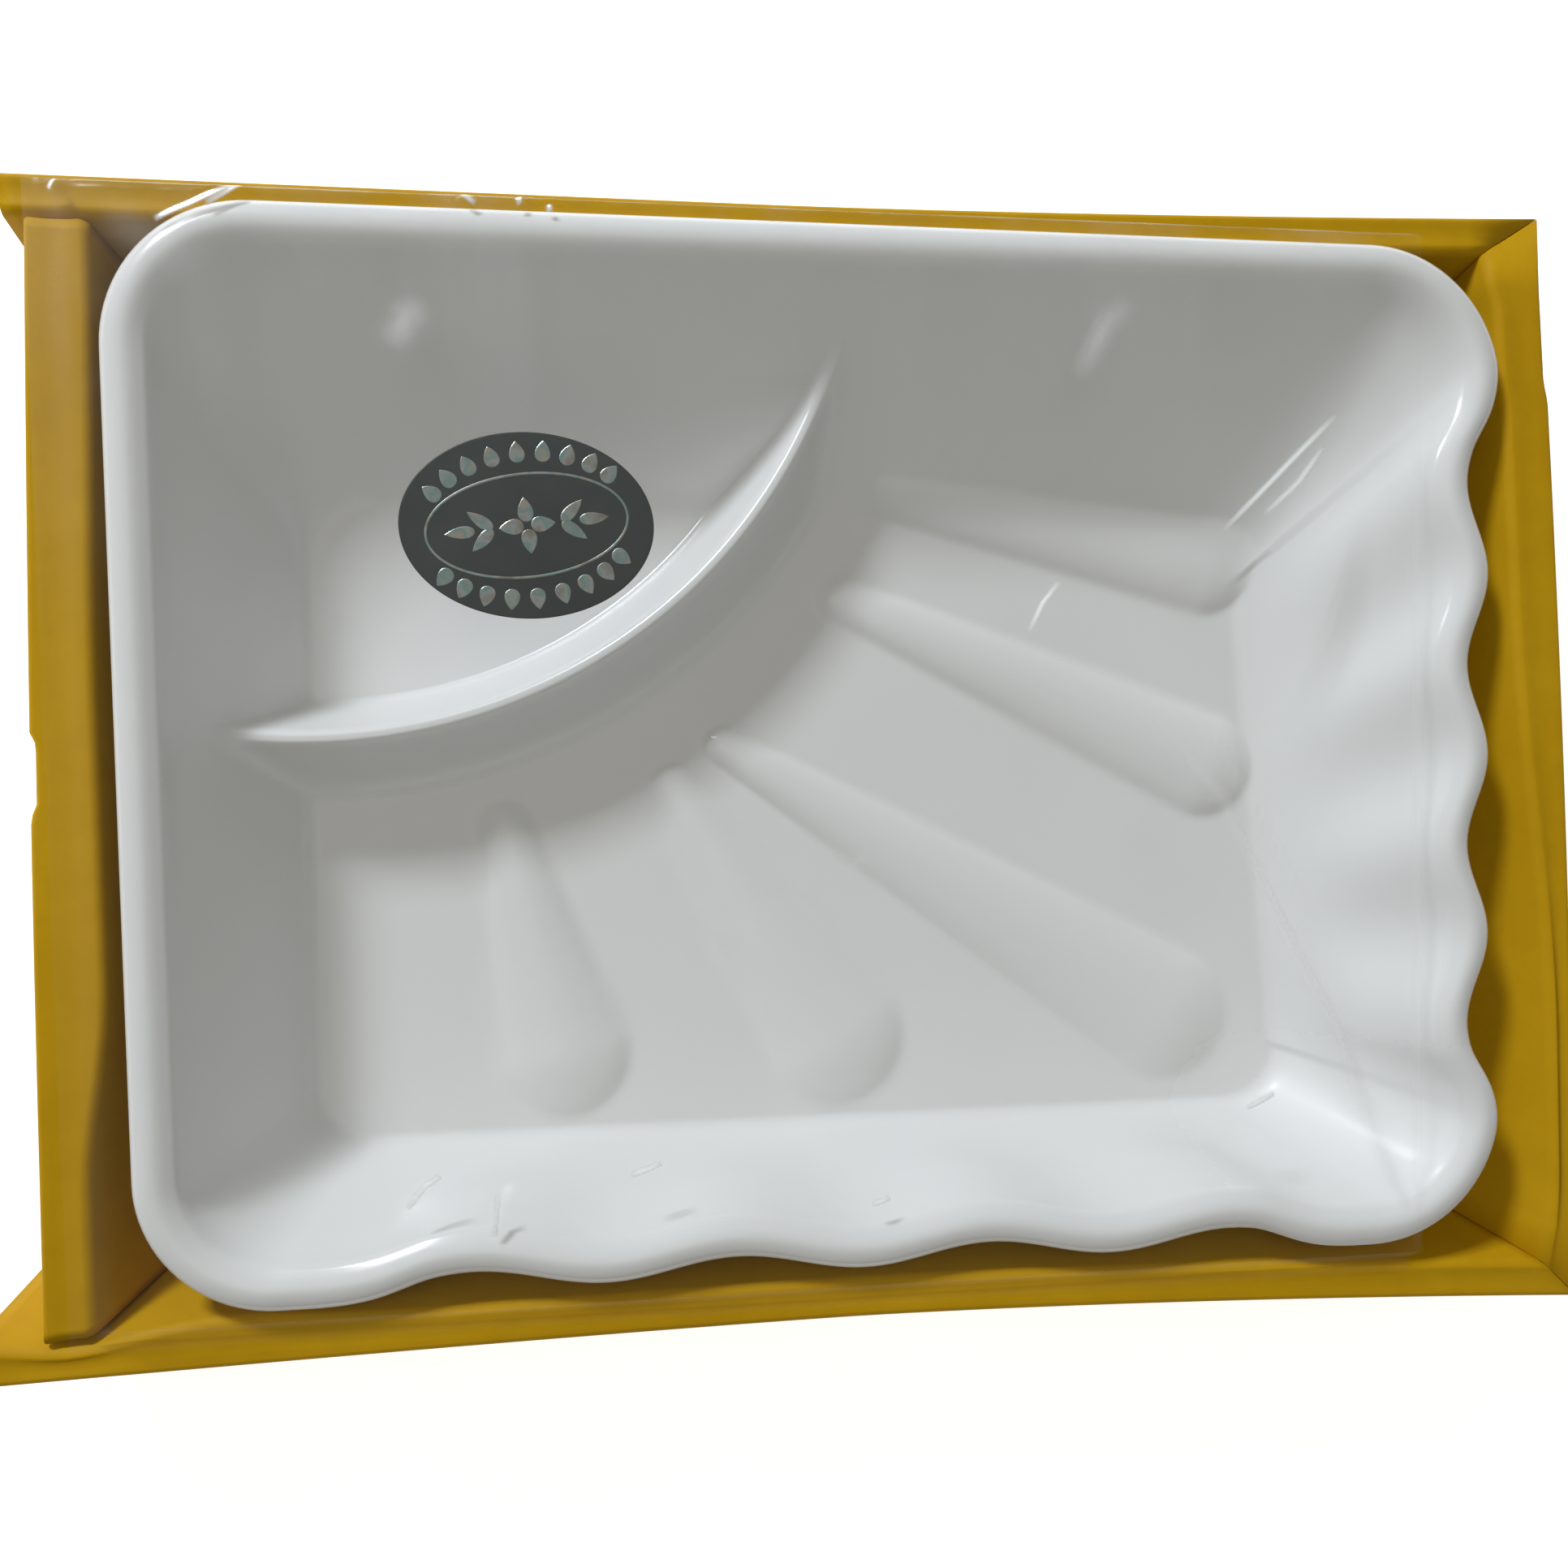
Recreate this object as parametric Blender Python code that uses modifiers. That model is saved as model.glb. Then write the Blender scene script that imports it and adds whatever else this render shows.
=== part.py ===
"""A divided, ribbed mixing palette in its shallow folded-card carton, under a clear film.

Lengths in the constants are millimetres; meshes are made in metres, +Z up.
The carton stands on z = 0 and the origin is the middle of its footprint.
"""

import math

import bmesh
import bpy
from mathutils import Matrix

MM = 0.001

# ---- palette: one glossy moulding. These lengths are from its own middle ----
PALETTE_AT = (6.2, 4.1)
OUTLINE = {"left": -166.4, "right": 167.4, "front": -125.0, "back": 125.0}
OUTLINE_RADII = (35.0, 33.0, 31.0, 35.0)  # back right, back left, front left, front right
FLOOR_CORNERS = ((112.6, 63.8), (-130.8, 69.4), (-133.2, -93.8), (125.8, -93.3))  # in the same order
FLOOR_RADIUS = 15.0
SIDE_STEPS = (32, 9, 9, 30)  # right, back, left, front
CORNER_STEPS = 8

WAVE_RIGHT = {"mean": 6.0, "swing": 2.8, "pitch": 45.4, "crest": 44.5, "full": 75.0, "gone": 98.0}
WAVE_FRONT = {"mean": 4.2, "swing": 2.2, "pitch": 62.0, "crest": 1.5, "full": 100.0, "gone": 128.0}

FOOT_Z = 1.9
UNDERSIDE_Z = 4.6
FLOOR_Z = 9.0
RIM_Z = 50.0
RIM_WIDTH = 10.0
WALL_OUT = 5.0  # from the inner face of the wall to its outer face, level
WALL_TOP_IN = 5.2  # the outer face of the wall starts this far in from the rim's widest line
INNER_TOP_Z = 47.6
OUTER_TOP_Z = 43.0
RIM_ROLL = (
    (RIM_WIDTH, INNER_TOP_Z),
    (7.2, 49.4),
    (4.8, RIM_Z),
    (2.2, 49.4),
    (0.6, 48.2),
    (0.0, 46.9),
    (0.8, 45.3),
    (2.6, 44.5),
    (4.6, 44.4),
)
# Each wall: share of the way in from the rim to the floor's edge, and of the way up
INNER_WALL = (
    (1.1, 0.0),
    (1.0, 0.018),
    (0.93, 0.06),
    (0.85, 0.13),
    (0.6, 0.38),
    (0.3, 0.68),
    (0.12, 0.86),
    (0.05, 0.94),
)
OUTER_WALL = ((0.0, 1.0), (0.12, 0.86), (0.3, 0.68), (0.6, 0.38), (0.85, 0.13), (1.0, 0.0))
FOOT_RING = ((4.0, FOOT_Z), (-1.0, FOOT_Z), (-2.0, UNDERSIDE_Z))
WAVE_KEPT_TO = 0.35  # the flutes keep their full depth over this share of the wall, then fade

DIVIDER_CENTRE = (-129.0, 143.5)
DIVIDER_SECTION = (
    (125.0, 6.2),
    (125.0, 9.3),
    (127.6, 12.5),
    (131.0, 23.0),
    (132.6, 28.0),
    (134.2, 29.7),
    (136.2, 29.9),
    (138.2, 28.4),
    (141.2, 20.0),
    (144.4, 12.2),
    (148.0, 9.3),
    (148.0, 6.2),
)
DIVIDER_FROM, DIVIDER_TO = -107.0, -10.0  # degrees about the centre
DIVIDER_STEPS = 36
CORE_INSET, CORE_LIFT = 1.2, 1.0

# Each rib: outer end x, y, radius; inner end x, y, radius
RIBS = (
    ((106.0, 53.5, 12.7), (16.0, 70.7, 4.7)),
    ((105.0, -0.5, 14.0), (4.0, 44.5, 5.6)),
    ((93.0, -68.5, 17.9), (-27.0, 5.7, 4.7)),
    ((1.5, -72.0, 18.0), (-40.0, -5.0, 6.0)),
    ((-70.0, -73.5, 16.5), (-84.0, -14.0, 6.0)),
)
RIB_RISE = (3.6, 2.2)
RIB_ROOT_Z = 6.4
RIB_SKIRT = 1.2  # a rib's straight side reaches this far below the floor's surface
RIB_CROWN_ANGLES = (22, 45, 68)
RIB_SIDES = 20

# ---- carton: folded card, hollow double walls with flat tops ----
CARD = 1.6
GAP = 0.3
MITRE_GAP = 0.2
TOP_Z = 44.0
FOOT = {"left": -177.0, "right": 190.0, "front": -132.5, "back": 134.0}
FOOT_DEPTH = {"left": 26.0, "right": 30.0, "front": 24.0, "back": 22.0}
EAR_TOP_X = {"back": -181.0, "front": -198.5}  # the back and front walls run on past the left wall
EAR_FOOT_X = {"back": -177.0, "front": -186.0}
MITRE_RUN = 4.0  # the last plain station stands this far short of a mitred corner
BACK_CORNER = (186.7, 139.2)
BACK_CORNER_INNER = (171.4, 129.8)
FRONT_CORNER = (198.5, -139.2)
FRONT_CORNER_INNER = (188.6, -129.4)
BACK_STEPS, FRONT_STEPS, RIGHT_STEPS, LEFT_STEPS = 10, 20, 16, 12

# The walls' tops bow and change width. Bows and changes are (by, from, over), some with a power.
BACK_Y, BACK_TOP_WIDTH = 134.8, 8.8
BACK_BOW = (4.4, -8.0, 194.7, 1.5)
FRONT_Y, FRONT_TOP_WIDTH = -132.3, 9.5
FRONT_MIDDLE_X = 5.0
FRONT_BOW_RIGHT = (6.9, 193.5, 1.6)
FRONT_BOW_LEFT = (3.6, 200.0, 1.5)
FRONT_SWELL = (2.2, -138.0, 22.0)
FRONT_PINCH = (2.6, -176.0, 14.0)
RIGHT_X, RIGHT_TOP_WIDTH = 186.7, 12.4
RIGHT_LEAN, RIGHT_BOW = 11.8, 1.7
RIGHT_NARROWS = (6.0, 40.0, 110.0)
RIGHT_WIDENS_FRONT = (1.8, -106.0, 26.0)
RIGHT_WIDENS_BACK = (3.2, 114.0, 16.0)
RIGHT_ENDS_Y = (121.0, -120.0)
LEFT_X, LEFT_LEAN, LEFT_BOW = -176.3, 5.6, 0.8
LEFT_RIDGE_X = -163.0
LEFT_WIDTH_CHANGES = ((2.4, 127.0, 110.0), (5.4, -45.0, 50.0))
LEFT_TOP_Y, LEFT_TOP_OUTER_Y = (125.0, -125.3), (126.0, -126.4)
LEFT_FOOT_CLEAR = 0.5

# ---- film and sticker ----
FILM = 0.3
FILM_X = (-176.0, -165.2, -161.4, 150.0)
FILM_Y = (-129.0, -125.4, -122.0, 130.2, 133.4)
FILM_STEPS = (8, 6)
FILM_HIGH_Z, FILM_LOW_Z = 50.35, 44.35
STICKER_AT = (-68.1, 57.2)
STICKER_HALF = (28.6, 21.0)
STICKER_Z = 50.95
STICKER_THICK = 0.25


def smooth(t):
    t = min(1.0, max(0.0, t))
    return t * t * (3.0 - 2.0 * t)


def mix(a, b, t):
    return tuple(p + (q - p) * t for p, q in zip(a, b))


def new_material(name, colour, roughness, metallic=0.0, alpha=1.0):
    material = bpy.data.materials.new(name)
    material.use_nodes = True
    shader = material.node_tree.nodes["Principled BSDF"]
    shader.inputs["Base Color"].default_value = (*colour, 1.0)
    shader.inputs["Roughness"].default_value = roughness
    shader.inputs["Metallic"].default_value = metallic
    shader.inputs["Alpha"].default_value = alpha
    return material


def new_object(name, bm, collection, material=None, at=(0.0, 0.0, 0.0)):
    mesh = bpy.data.meshes.new(name)
    bm.to_mesh(mesh)
    bm.free()
    obj = bpy.data.objects.new(name, mesh)
    obj.location = [c * MM for c in at]
    if material:
        mesh.materials.append(material)
    collection.objects.link(obj)
    return obj


def shade_smooth(obj):
    for polygon in obj.data.polygons:
        polygon.use_smooth = True


def as_helper(obj):
    obj.hide_render = True
    obj.display_type = "WIRE"


def loft(rings):
    """Joins rings of points, in millimetres, into one closed body with flat end caps."""
    bm = bmesh.new()
    rows = [[bm.verts.new([c * MM for c in point]) for point in ring] for ring in rings]
    count = len(rows[0])
    for low, high in zip(rows, rows[1:]):
        for i in range(count):
            j = (i + 1) % count
            bm.faces.new((low[i], low[j], high[j], high[i]))
    bm.faces.new(rows[0])
    bm.faces.new(rows[-1])
    bmesh.ops.recalc_face_normals(bm, faces=bm.faces)
    return bm


# ---- palette ----
def loop_stations():
    """(corner or side, number, share along it) round the palette, anticlockwise from the right side."""
    stations = []
    for number in range(4):
        stations += [("side", number, i / SIDE_STEPS[number]) for i in range(SIDE_STEPS[number])]
        stations += [("corner", number, i / CORNER_STEPS) for i in range(CORNER_STEPS)]
    return stations


def rounded(corners, radii, kind, number, share):
    """A point on a four-cornered loop with rounded corners, and the direction out of it."""
    angle = math.radians(90.0 * number)
    if kind == "corner":
        (x, y), radius = corners[number], radii[number]
        out_x = 1.0 if x > 0.0 else -1.0
        out_y = 1.0 if y > 0.0 else -1.0
        turn = angle + math.radians(90.0 * share)
        centre = (x - out_x * radius, y - out_y * radius)
        normal = (math.cos(turn), math.sin(turn))
        return (centre[0] + radius * normal[0], centre[1] + radius * normal[1]), normal
    normal = (round(math.cos(angle)), round(math.sin(angle)))
    before = (number + 3) % 4
    start, end = corners[before], corners[number]
    length = math.dist(start, end)
    first = radii[before] / length
    last = 1.0 - radii[number] / length
    return mix(start, end, first + (last - first) * share), normal


def wave(place, shape):
    """How far the scalloped rim lies inside the plain outline at this place along a side."""
    ramp = 1.0 - smooth((abs(place) - shape["full"]) / (shape["gone"] - shape["full"]))
    turn = 2.0 * math.pi * (place - shape["crest"]) / shape["pitch"]
    return (shape["mean"] - shape["swing"] * math.cos(turn)) * ramp


def palette_stations():
    """For each station: the plain outline point, its direction out, the wave's depth, the floor's edge."""
    left, right, front, back = (OUTLINE[side] for side in ("left", "right", "front", "back"))
    corners = ((right, back), (left, back), (left, front), (right, front))
    found = []
    for kind, number, share in loop_stations():
        point, normal = rounded(corners, OUTLINE_RADII, kind, number, share)
        depth = wave(point[1], WAVE_RIGHT) * max(0.0, normal[0])
        depth += wave(point[0], WAVE_FRONT) * max(0.0, -normal[1])
        edge, _ = rounded(FLOOR_CORNERS, (FLOOR_RADIUS,) * 4, kind, number, share)
        found.append((point, normal, depth, edge))
    return found


def rim_ring(stations, inward, z):
    ring = []
    for point, normal, depth, _ in stations:
        reach = depth + inward
        ring.append((point[0] - normal[0] * reach, point[1] - normal[1] * reach, z))
    return ring


def wall_ring(stations, share, z, top_in, out):
    """A ring part way from the rim, share 0, to the floor's edge, share 1."""
    kept = 1.0 - smooth((share - WAVE_KEPT_TO) / (1.0 - WAVE_KEPT_TO))
    ring = []
    for point, normal, depth, edge in stations:
        inward = top_in + depth * kept
        high = (point[0] - normal[0] * inward, point[1] - normal[1] * inward)
        low = (edge[0] + normal[0] * out, edge[1] + normal[1] * out)
        ring.append((*mix(high, low, share), z))
    return ring


def foot_ring(stations, out, z):
    return [(edge[0] + n[0] * out, edge[1] + n[1] * out, z) for _, n, _, edge in stations]


def inner_z(rise):
    return FLOOR_Z + (INNER_TOP_Z - FLOOR_Z) * rise


def outer_z(rise):
    return UNDERSIDE_Z + (OUTER_TOP_Z - UNDERSIDE_Z) * rise


def make_shell(collection, material):
    stations = palette_stations()
    rings = [wall_ring(stations, s, inner_z(rise), RIM_WIDTH, 0.0) for s, rise in INNER_WALL]
    rings += [rim_ring(stations, inward, z) for inward, z in RIM_ROLL]
    rings += [wall_ring(stations, s, outer_z(rise), WALL_TOP_IN, WALL_OUT) for s, rise in OUTER_WALL]
    rings += [foot_ring(stations, out, z) for out, z in FOOT_RING]
    return new_object("palette_tray", loft(rings), collection, material, (*PALETTE_AT, 0.0))


def make_core(collection):
    """The space just inside the palette's outer face. It ends the divider within the wall."""
    stations = palette_stations()
    rings = []
    for share, rise in OUTER_WALL:
        z = outer_z(rise) + CORE_LIFT
        rings.append(wall_ring(stations, share, z, WALL_TOP_IN + CORE_INSET, WALL_OUT - CORE_INSET))
    core = new_object("wall_core", loft(rings), collection, None, (*PALETTE_AT, 0.0))
    as_helper(core)
    return core


def make_divider(collection, core):
    bm = bmesh.new()
    profile = [bm.verts.new((r * MM, 0.0, z * MM)) for r, z in DIVIDER_SECTION]
    section = bm.faces.new(profile)
    start = math.radians(DIVIDER_FROM)
    bmesh.ops.rotate(bm, verts=profile, cent=(0.0, 0.0, 0.0), matrix=Matrix.Rotation(start, 3, "Z"))
    turn = math.radians(DIVIDER_TO - DIVIDER_FROM)
    bmesh.ops.spin(
        bm,
        geom=[section],
        cent=(0.0, 0.0, 0.0),
        axis=(0.0, 0.0, 1.0),
        angle=turn,
        steps=DIVIDER_STEPS,
        use_duplicate=False,
    )
    bmesh.ops.remove_doubles(bm, verts=bm.verts, dist=1e-6)
    bmesh.ops.recalc_face_normals(bm, faces=bm.faces)
    at = (PALETTE_AT[0] + DIVIDER_CENTRE[0], PALETTE_AT[1] + DIVIDER_CENTRE[1], 0.0)
    divider = new_object("divider_shape", bm, collection, None, at)
    trim = divider.modifiers.new("end_in_wall", "BOOLEAN")
    trim.operation = "INTERSECT"
    trim.object = core
    as_helper(divider)
    return divider


def make_rib(number, ends, collection):
    bm = bmesh.new()
    for (x, y, radius), rise in zip(ends, RIB_RISE):
        base = FLOOR_Z - RIB_SKIRT
        rings = [(radius, RIB_ROOT_Z), (radius, base)]
        for angle in RIB_CROWN_ANGLES:
            turn = math.radians(angle)
            rings.append((radius * math.cos(turn), base + (rise + RIB_SKIRT) * math.sin(turn)))
        for ring_radius, z in rings:
            for i in range(RIB_SIDES):
                turn = 2.0 * math.pi * i / RIB_SIDES
                plan_x, plan_y = x + ring_radius * math.cos(turn), y + ring_radius * math.sin(turn)
                bm.verts.new((plan_x * MM, plan_y * MM, z * MM))
        bm.verts.new((x * MM, y * MM, (FLOOR_Z + rise) * MM))
    made = bmesh.ops.convex_hull(bm, input=bm.verts)
    inside = set(made["geom_interior"]) | set(made["geom_unused"])
    bmesh.ops.delete(bm, geom=[e for e in inside if isinstance(e, bmesh.types.BMVert)], context="VERTS")
    bmesh.ops.recalc_face_normals(bm, faces=bm.faces)
    rib = new_object("rib_shape_%d" % number, bm, collection, None, (*PALETTE_AT, 0.0))
    as_helper(rib)
    return rib


def make_palette(parts, helpers, material):
    tray = make_shell(parts, material)
    raised = [make_divider(helpers, make_core(helpers))]
    raised += [make_rib(number, ends, helpers) for number, ends in enumerate(RIBS, 1)]
    for shape in raised:
        union = tray.modifiers.new(shape.name, "BOOLEAN")
        union.operation = "UNION"
        union.object = shape
    shade_smooth(tray)
    return tray


# ---- carton ----
def bump(place, change):
    by, centre, width = change
    return by * math.exp(-(((place - centre) / width) ** 2))


def back_outer(x):
    by, start, over, power = BACK_BOW
    return BACK_Y + by * max(0.0, (x - start) / over) ** power


def back_ridge(x):
    return back_outer(x) - BACK_TOP_WIDTH


def front_outer(x):
    past = x - FRONT_MIDDLE_X
    by, over, power = FRONT_BOW_RIGHT if past > 0.0 else FRONT_BOW_LEFT
    return FRONT_Y - by * (abs(past) / over) ** power


def front_ridge(x):
    return front_outer(x) + FRONT_TOP_WIDTH + bump(x, FRONT_SWELL) - bump(x, FRONT_PINCH)


def eased(place, change):
    """A change that grows smoothly as y falls from its start."""
    by, start, over = change
    return by * smooth((start - place) / over)


def right_outer(y):
    share = (BACK_CORNER[1] - y) / (BACK_CORNER[1] - FRONT_CORNER[1])
    return RIGHT_X + RIGHT_LEAN * share + RIGHT_BOW * math.sin(math.pi * share)


def right_ridge(y):
    by, start, over = RIGHT_WIDENS_BACK
    width = RIGHT_TOP_WIDTH - eased(y, RIGHT_NARROWS) + eased(y, RIGHT_WIDENS_FRONT)
    return right_outer(y) - width - by * smooth((y - start) / over)


def left_outer(y):
    share = (LEFT_TOP_OUTER_Y[0] - y) / (2.0 * LEFT_TOP_OUTER_Y[0])
    return LEFT_X - LEFT_LEAN * share - LEFT_BOW * math.sin(math.pi * share)


def left_ridge(y):
    return LEFT_RIDGE_X - sum(eased(y, change) for change in LEFT_WIDTH_CHANGES)


def foot_lines(wall):
    """The outer and inner lines of the back or front wall's foot, as y."""
    inward = -1.0 if wall == "back" else 1.0
    return FOOT[wall], FOOT[wall] + inward * FOOT_DEPTH[wall]


def mitred_end(wall, shift):
    """The corner where the right wall meets the back or front wall, moved by this much in x and y."""
    at_back = wall == "back"
    corner, inner = (BACK_CORNER, BACK_CORNER_INNER) if at_back else (FRONT_CORNER, FRONT_CORNER_INNER)
    foot_y, foot_in_y = foot_lines(wall)
    foot_x = FOOT["right"]
    points = (corner, inner, (foot_x, foot_y), (foot_x - FOOT_DEPTH["right"], foot_in_y))
    return tuple((x + shift[0], y + shift[1]) for x, y in points)


def long_wall_stations(side):
    steps = BACK_STEPS if side == "back" else FRONT_STEPS
    outer, ridge = (back_outer, back_ridge) if side == "back" else (front_outer, front_ridge)
    inner_corner = BACK_CORNER_INNER if side == "back" else FRONT_CORNER_INNER
    foot_y, foot_in_y = foot_lines(side)
    first_x, first_foot_x = EAR_TOP_X[side], EAR_FOOT_X[side]
    last_x = inner_corner[0] - MITRE_RUN
    last_foot_x = FOOT["right"] - FOOT_DEPTH["right"] - MITRE_RUN
    found = []
    for i in range(steps):
        share = i / (steps - 1)
        x = first_x + (last_x - first_x) * share
        foot_x = first_foot_x + (last_foot_x - first_foot_x) * share
        found.append(((x, outer(x)), (x, ridge(x)), (foot_x, foot_y), (foot_x, foot_in_y)))
    return [*found, mitred_end(side, (-MITRE_GAP, 0.0))]


def right_wall_stations():
    foot, deep = FOOT["right"], FOOT_DEPTH["right"]
    first_y, last_y = RIGHT_ENDS_Y
    first_foot_y = foot_lines("back")[1] - MITRE_RUN
    last_foot_y = foot_lines("front")[1] + MITRE_RUN
    found = []
    for i in range(RIGHT_STEPS):
        share = i / (RIGHT_STEPS - 1)
        y = first_y + (last_y - first_y) * share
        foot_y = first_foot_y + (last_foot_y - first_foot_y) * share
        found.append(((right_outer(y), y), (right_ridge(y), y), (foot, foot_y), (foot - deep, foot_y)))
    return [mitred_end("back", (0.0, -MITRE_GAP)), *found, mitred_end("front", (0.0, MITRE_GAP))]


def left_wall_stations():
    foot, deep = FOOT["left"], FOOT_DEPTH["left"]
    ridge_y, outer_y = LEFT_TOP_Y, (LEFT_TOP_Y[0], LEFT_TOP_OUTER_Y[1])
    foot_y = foot_lines("back")[1] - LEFT_FOOT_CLEAR, foot_lines("front")[1] + LEFT_FOOT_CLEAR
    found = []
    for i in range(LEFT_STEPS + 1):
        share = i / LEFT_STEPS
        y, y_out, y_foot = (first + (last - first) * share for first, last in (ridge_y, outer_y, foot_y))
        top = (left_outer(y_out), y_out), (left_ridge(y), y)
        found.append((*top, (foot, y_foot), (foot + deep, y_foot)))
    return found


def wall_stations(side):
    """Along a wall: the top's outer and ridge points and the foot's outer and inner points, in plan."""
    if side in ("back", "front"):
        return long_wall_stations(side)
    return right_wall_stations() if side == "right" else left_wall_stations()


def level_width(side, a, b):
    across = 1 if side in ("back", "front") else 0
    return abs(a[across] - b[across])


def at_depth(side, outer, inner, depth):
    return mix(outer, inner, depth / level_width(side, outer, inner))


def make_outer_panel(side, collection, material):
    rings = []
    for top, ridge, foot, foot_in in wall_stations(side):
        high = TOP_Z - CARD - GAP
        upper = mix(foot, top, high / TOP_Z)
        upper_in = mix(foot_in, ridge, high / TOP_Z)
        rings.append(
            (
                (*foot, 0.0),
                (*upper, high),
                (*at_depth(side, upper, upper_in, CARD), high),
                (*at_depth(side, foot, foot_in, CARD), 0.0),
            )
        )
    return new_object("%s_outer_panel" % side, loft(rings), collection, material)


def make_roll_over_panel(side, collection, material):
    """The wall's flat top and the panel that turns down inside it, one folded strip of card."""
    rings = []
    low = CARD + GAP
    for top, ridge, foot, foot_in in wall_stations(side):
        under = TOP_Z - CARD
        width = level_width(side, top, ridge)
        inner_under = at_depth(side, top, ridge, width - CARD)
        foot_face = mix(foot_in, ridge, low / TOP_Z)
        foot_out = mix(foot, top, low / TOP_Z)
        foot_width = level_width(side, foot_out, foot_face)
        foot_back = at_depth(side, foot_out, foot_face, foot_width - CARD)
        rings.append(
            (
                (*top, TOP_Z),
                (*ridge, TOP_Z),
                (*foot_face, low),
                (*foot_back, low),
                (*inner_under, under),
                (*top, under),
            )
        )
    return new_object("%s_roll_over_panel" % side, loft(rings), collection, material)


def make_base(collection, material):
    inset = CARD + GAP
    x0, x1 = FOOT["left"] + inset, FOOT["right"] - inset
    y0, y1 = FOOT["front"] + inset, FOOT["back"] - inset
    rings = [[(x0, y0, z), (x1, y0, z), (x1, y1, z), (x0, y1, z)] for z in (0.0, CARD)]
    return new_object("carton_base", loft(rings), collection, material)


# ---- film and sticker ----
def film_lines(edges, first_high, last_high, steps):
    """The grid lines along one axis, with whether each is on the raised middle."""
    lines = [(edge, False) for edge in edges[:first_high]]
    low, high = edges[first_high], edges[last_high]
    lines += [(low + (high - low) * i / steps, True) for i in range(steps + 1)]
    return lines + [(edge, False) for edge in edges[last_high + 1 :]]


def make_film(collection, material):
    columns = film_lines(FILM_X, 2, 3, FILM_STEPS[0])
    rows = film_lines(FILM_Y, 2, 3, FILM_STEPS[1])
    bm = bmesh.new()
    grid = []
    for y, y_high in rows:
        row = []
        for x, x_high in columns:
            z = FILM_HIGH_Z if x_high and y_high else FILM_LOW_Z
            row.append(bm.verts.new((x * MM, y * MM, z * MM)))
        grid.append(row)
    for near, far in zip(grid, grid[1:]):
        for i in range(len(columns) - 1):
            bm.faces.new((near[i], near[i + 1], far[i + 1], far[i]))
    film = new_object("clear_film", bm, collection, material)
    thickness = film.modifiers.new("thickness", "SOLIDIFY")
    thickness.thickness = FILM * MM
    thickness.offset = 1.0
    return film


def make_sticker(collection, material):
    bm = bmesh.new()
    bmesh.ops.create_cone(
        bm,
        cap_ends=True,
        segments=64,
        radius1=1.0,
        radius2=1.0,
        depth=STICKER_THICK * MM,
    )
    bmesh.ops.scale(bm, vec=(STICKER_HALF[0] * MM, STICKER_HALF[1] * MM, 1.0), verts=bm.verts)
    at = (*STICKER_AT, STICKER_Z + STICKER_THICK / 2)
    return new_object("oval_sticker", bm, collection, material, at)


def clear_scene():
    for obj in list(bpy.data.objects):
        bpy.data.objects.remove(obj, do_unlink=True)


def new_collection(name):
    collection = bpy.data.collections.new(name)
    bpy.context.scene.collection.children.link(collection)
    return collection


def main():
    clear_scene()
    parts = new_collection("boxed_mixing_palette")
    helpers = new_collection("helpers")
    white = new_material("white_gloss_plastic", (0.86, 0.86, 0.84), 0.15)
    card = new_material("yellow_card", (0.50, 0.36, 0.03), 0.6)
    clear = new_material("clear_film", (0.95, 0.96, 0.97), 0.08, alpha=0.2)
    dark = new_material("dark_foil_label", (0.07, 0.08, 0.08), 0.3, 0.2)
    make_palette(parts, helpers, white)
    make_base(parts, card)
    for side in ("back", "front", "right", "left"):
        make_outer_panel(side, parts, card)
        make_roll_over_panel(side, parts, card)
    make_film(parts, clear)
    make_sticker(parts, dark)


main()
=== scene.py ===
import math

import bmesh
import bpy
import numpy as np
from mathutils import Matrix, Vector


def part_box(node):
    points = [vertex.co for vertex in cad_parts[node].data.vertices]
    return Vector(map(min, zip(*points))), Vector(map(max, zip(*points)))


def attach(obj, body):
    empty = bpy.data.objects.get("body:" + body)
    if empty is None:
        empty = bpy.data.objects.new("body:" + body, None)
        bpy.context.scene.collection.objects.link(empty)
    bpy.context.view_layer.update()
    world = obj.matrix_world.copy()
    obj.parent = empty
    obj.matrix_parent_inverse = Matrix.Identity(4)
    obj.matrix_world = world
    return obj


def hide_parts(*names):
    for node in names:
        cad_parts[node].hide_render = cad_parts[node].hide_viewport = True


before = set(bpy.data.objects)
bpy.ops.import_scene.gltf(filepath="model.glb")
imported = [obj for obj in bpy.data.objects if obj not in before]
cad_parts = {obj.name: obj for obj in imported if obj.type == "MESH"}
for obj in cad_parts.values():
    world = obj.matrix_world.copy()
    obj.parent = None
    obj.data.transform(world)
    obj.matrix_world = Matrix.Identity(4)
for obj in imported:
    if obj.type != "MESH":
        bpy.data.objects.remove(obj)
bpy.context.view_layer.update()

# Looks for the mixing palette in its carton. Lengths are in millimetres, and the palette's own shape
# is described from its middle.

MM = 0.001

# ---- palette ----
OUTLINE = {"left": -166.4, "right": 167.4, "front": -125.0, "back": 125.0}
OUTLINE_RADII = (35.0, 33.0, 31.0, 35.0)  # back right, back left, front left, front right
FLOOR_CORNERS = ((112.6, 63.8), (-130.8, 69.4), (-133.2, -93.8), (125.8, -93.3))  # in the same order
FLOOR_RADIUS = 15.0
SIDE_STEPS = (118, 64, 50, 112)  # right, back, left, front
CORNER_STEPS = 22
WAVE_RIGHT = {"mean": 6.0, "swing": 2.8, "pitch": 45.4, "crest": 44.5, "full": 75.0, "gone": 98.0}
WAVE_FRONT = {"mean": 4.2, "swing": 2.2, "pitch": 62.0, "crest": 1.5, "full": 100.0, "gone": 128.0}
WAVE_KEPT_TO = 0.35  # the flutes keep their full depth over this share of the wall, then fade
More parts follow.
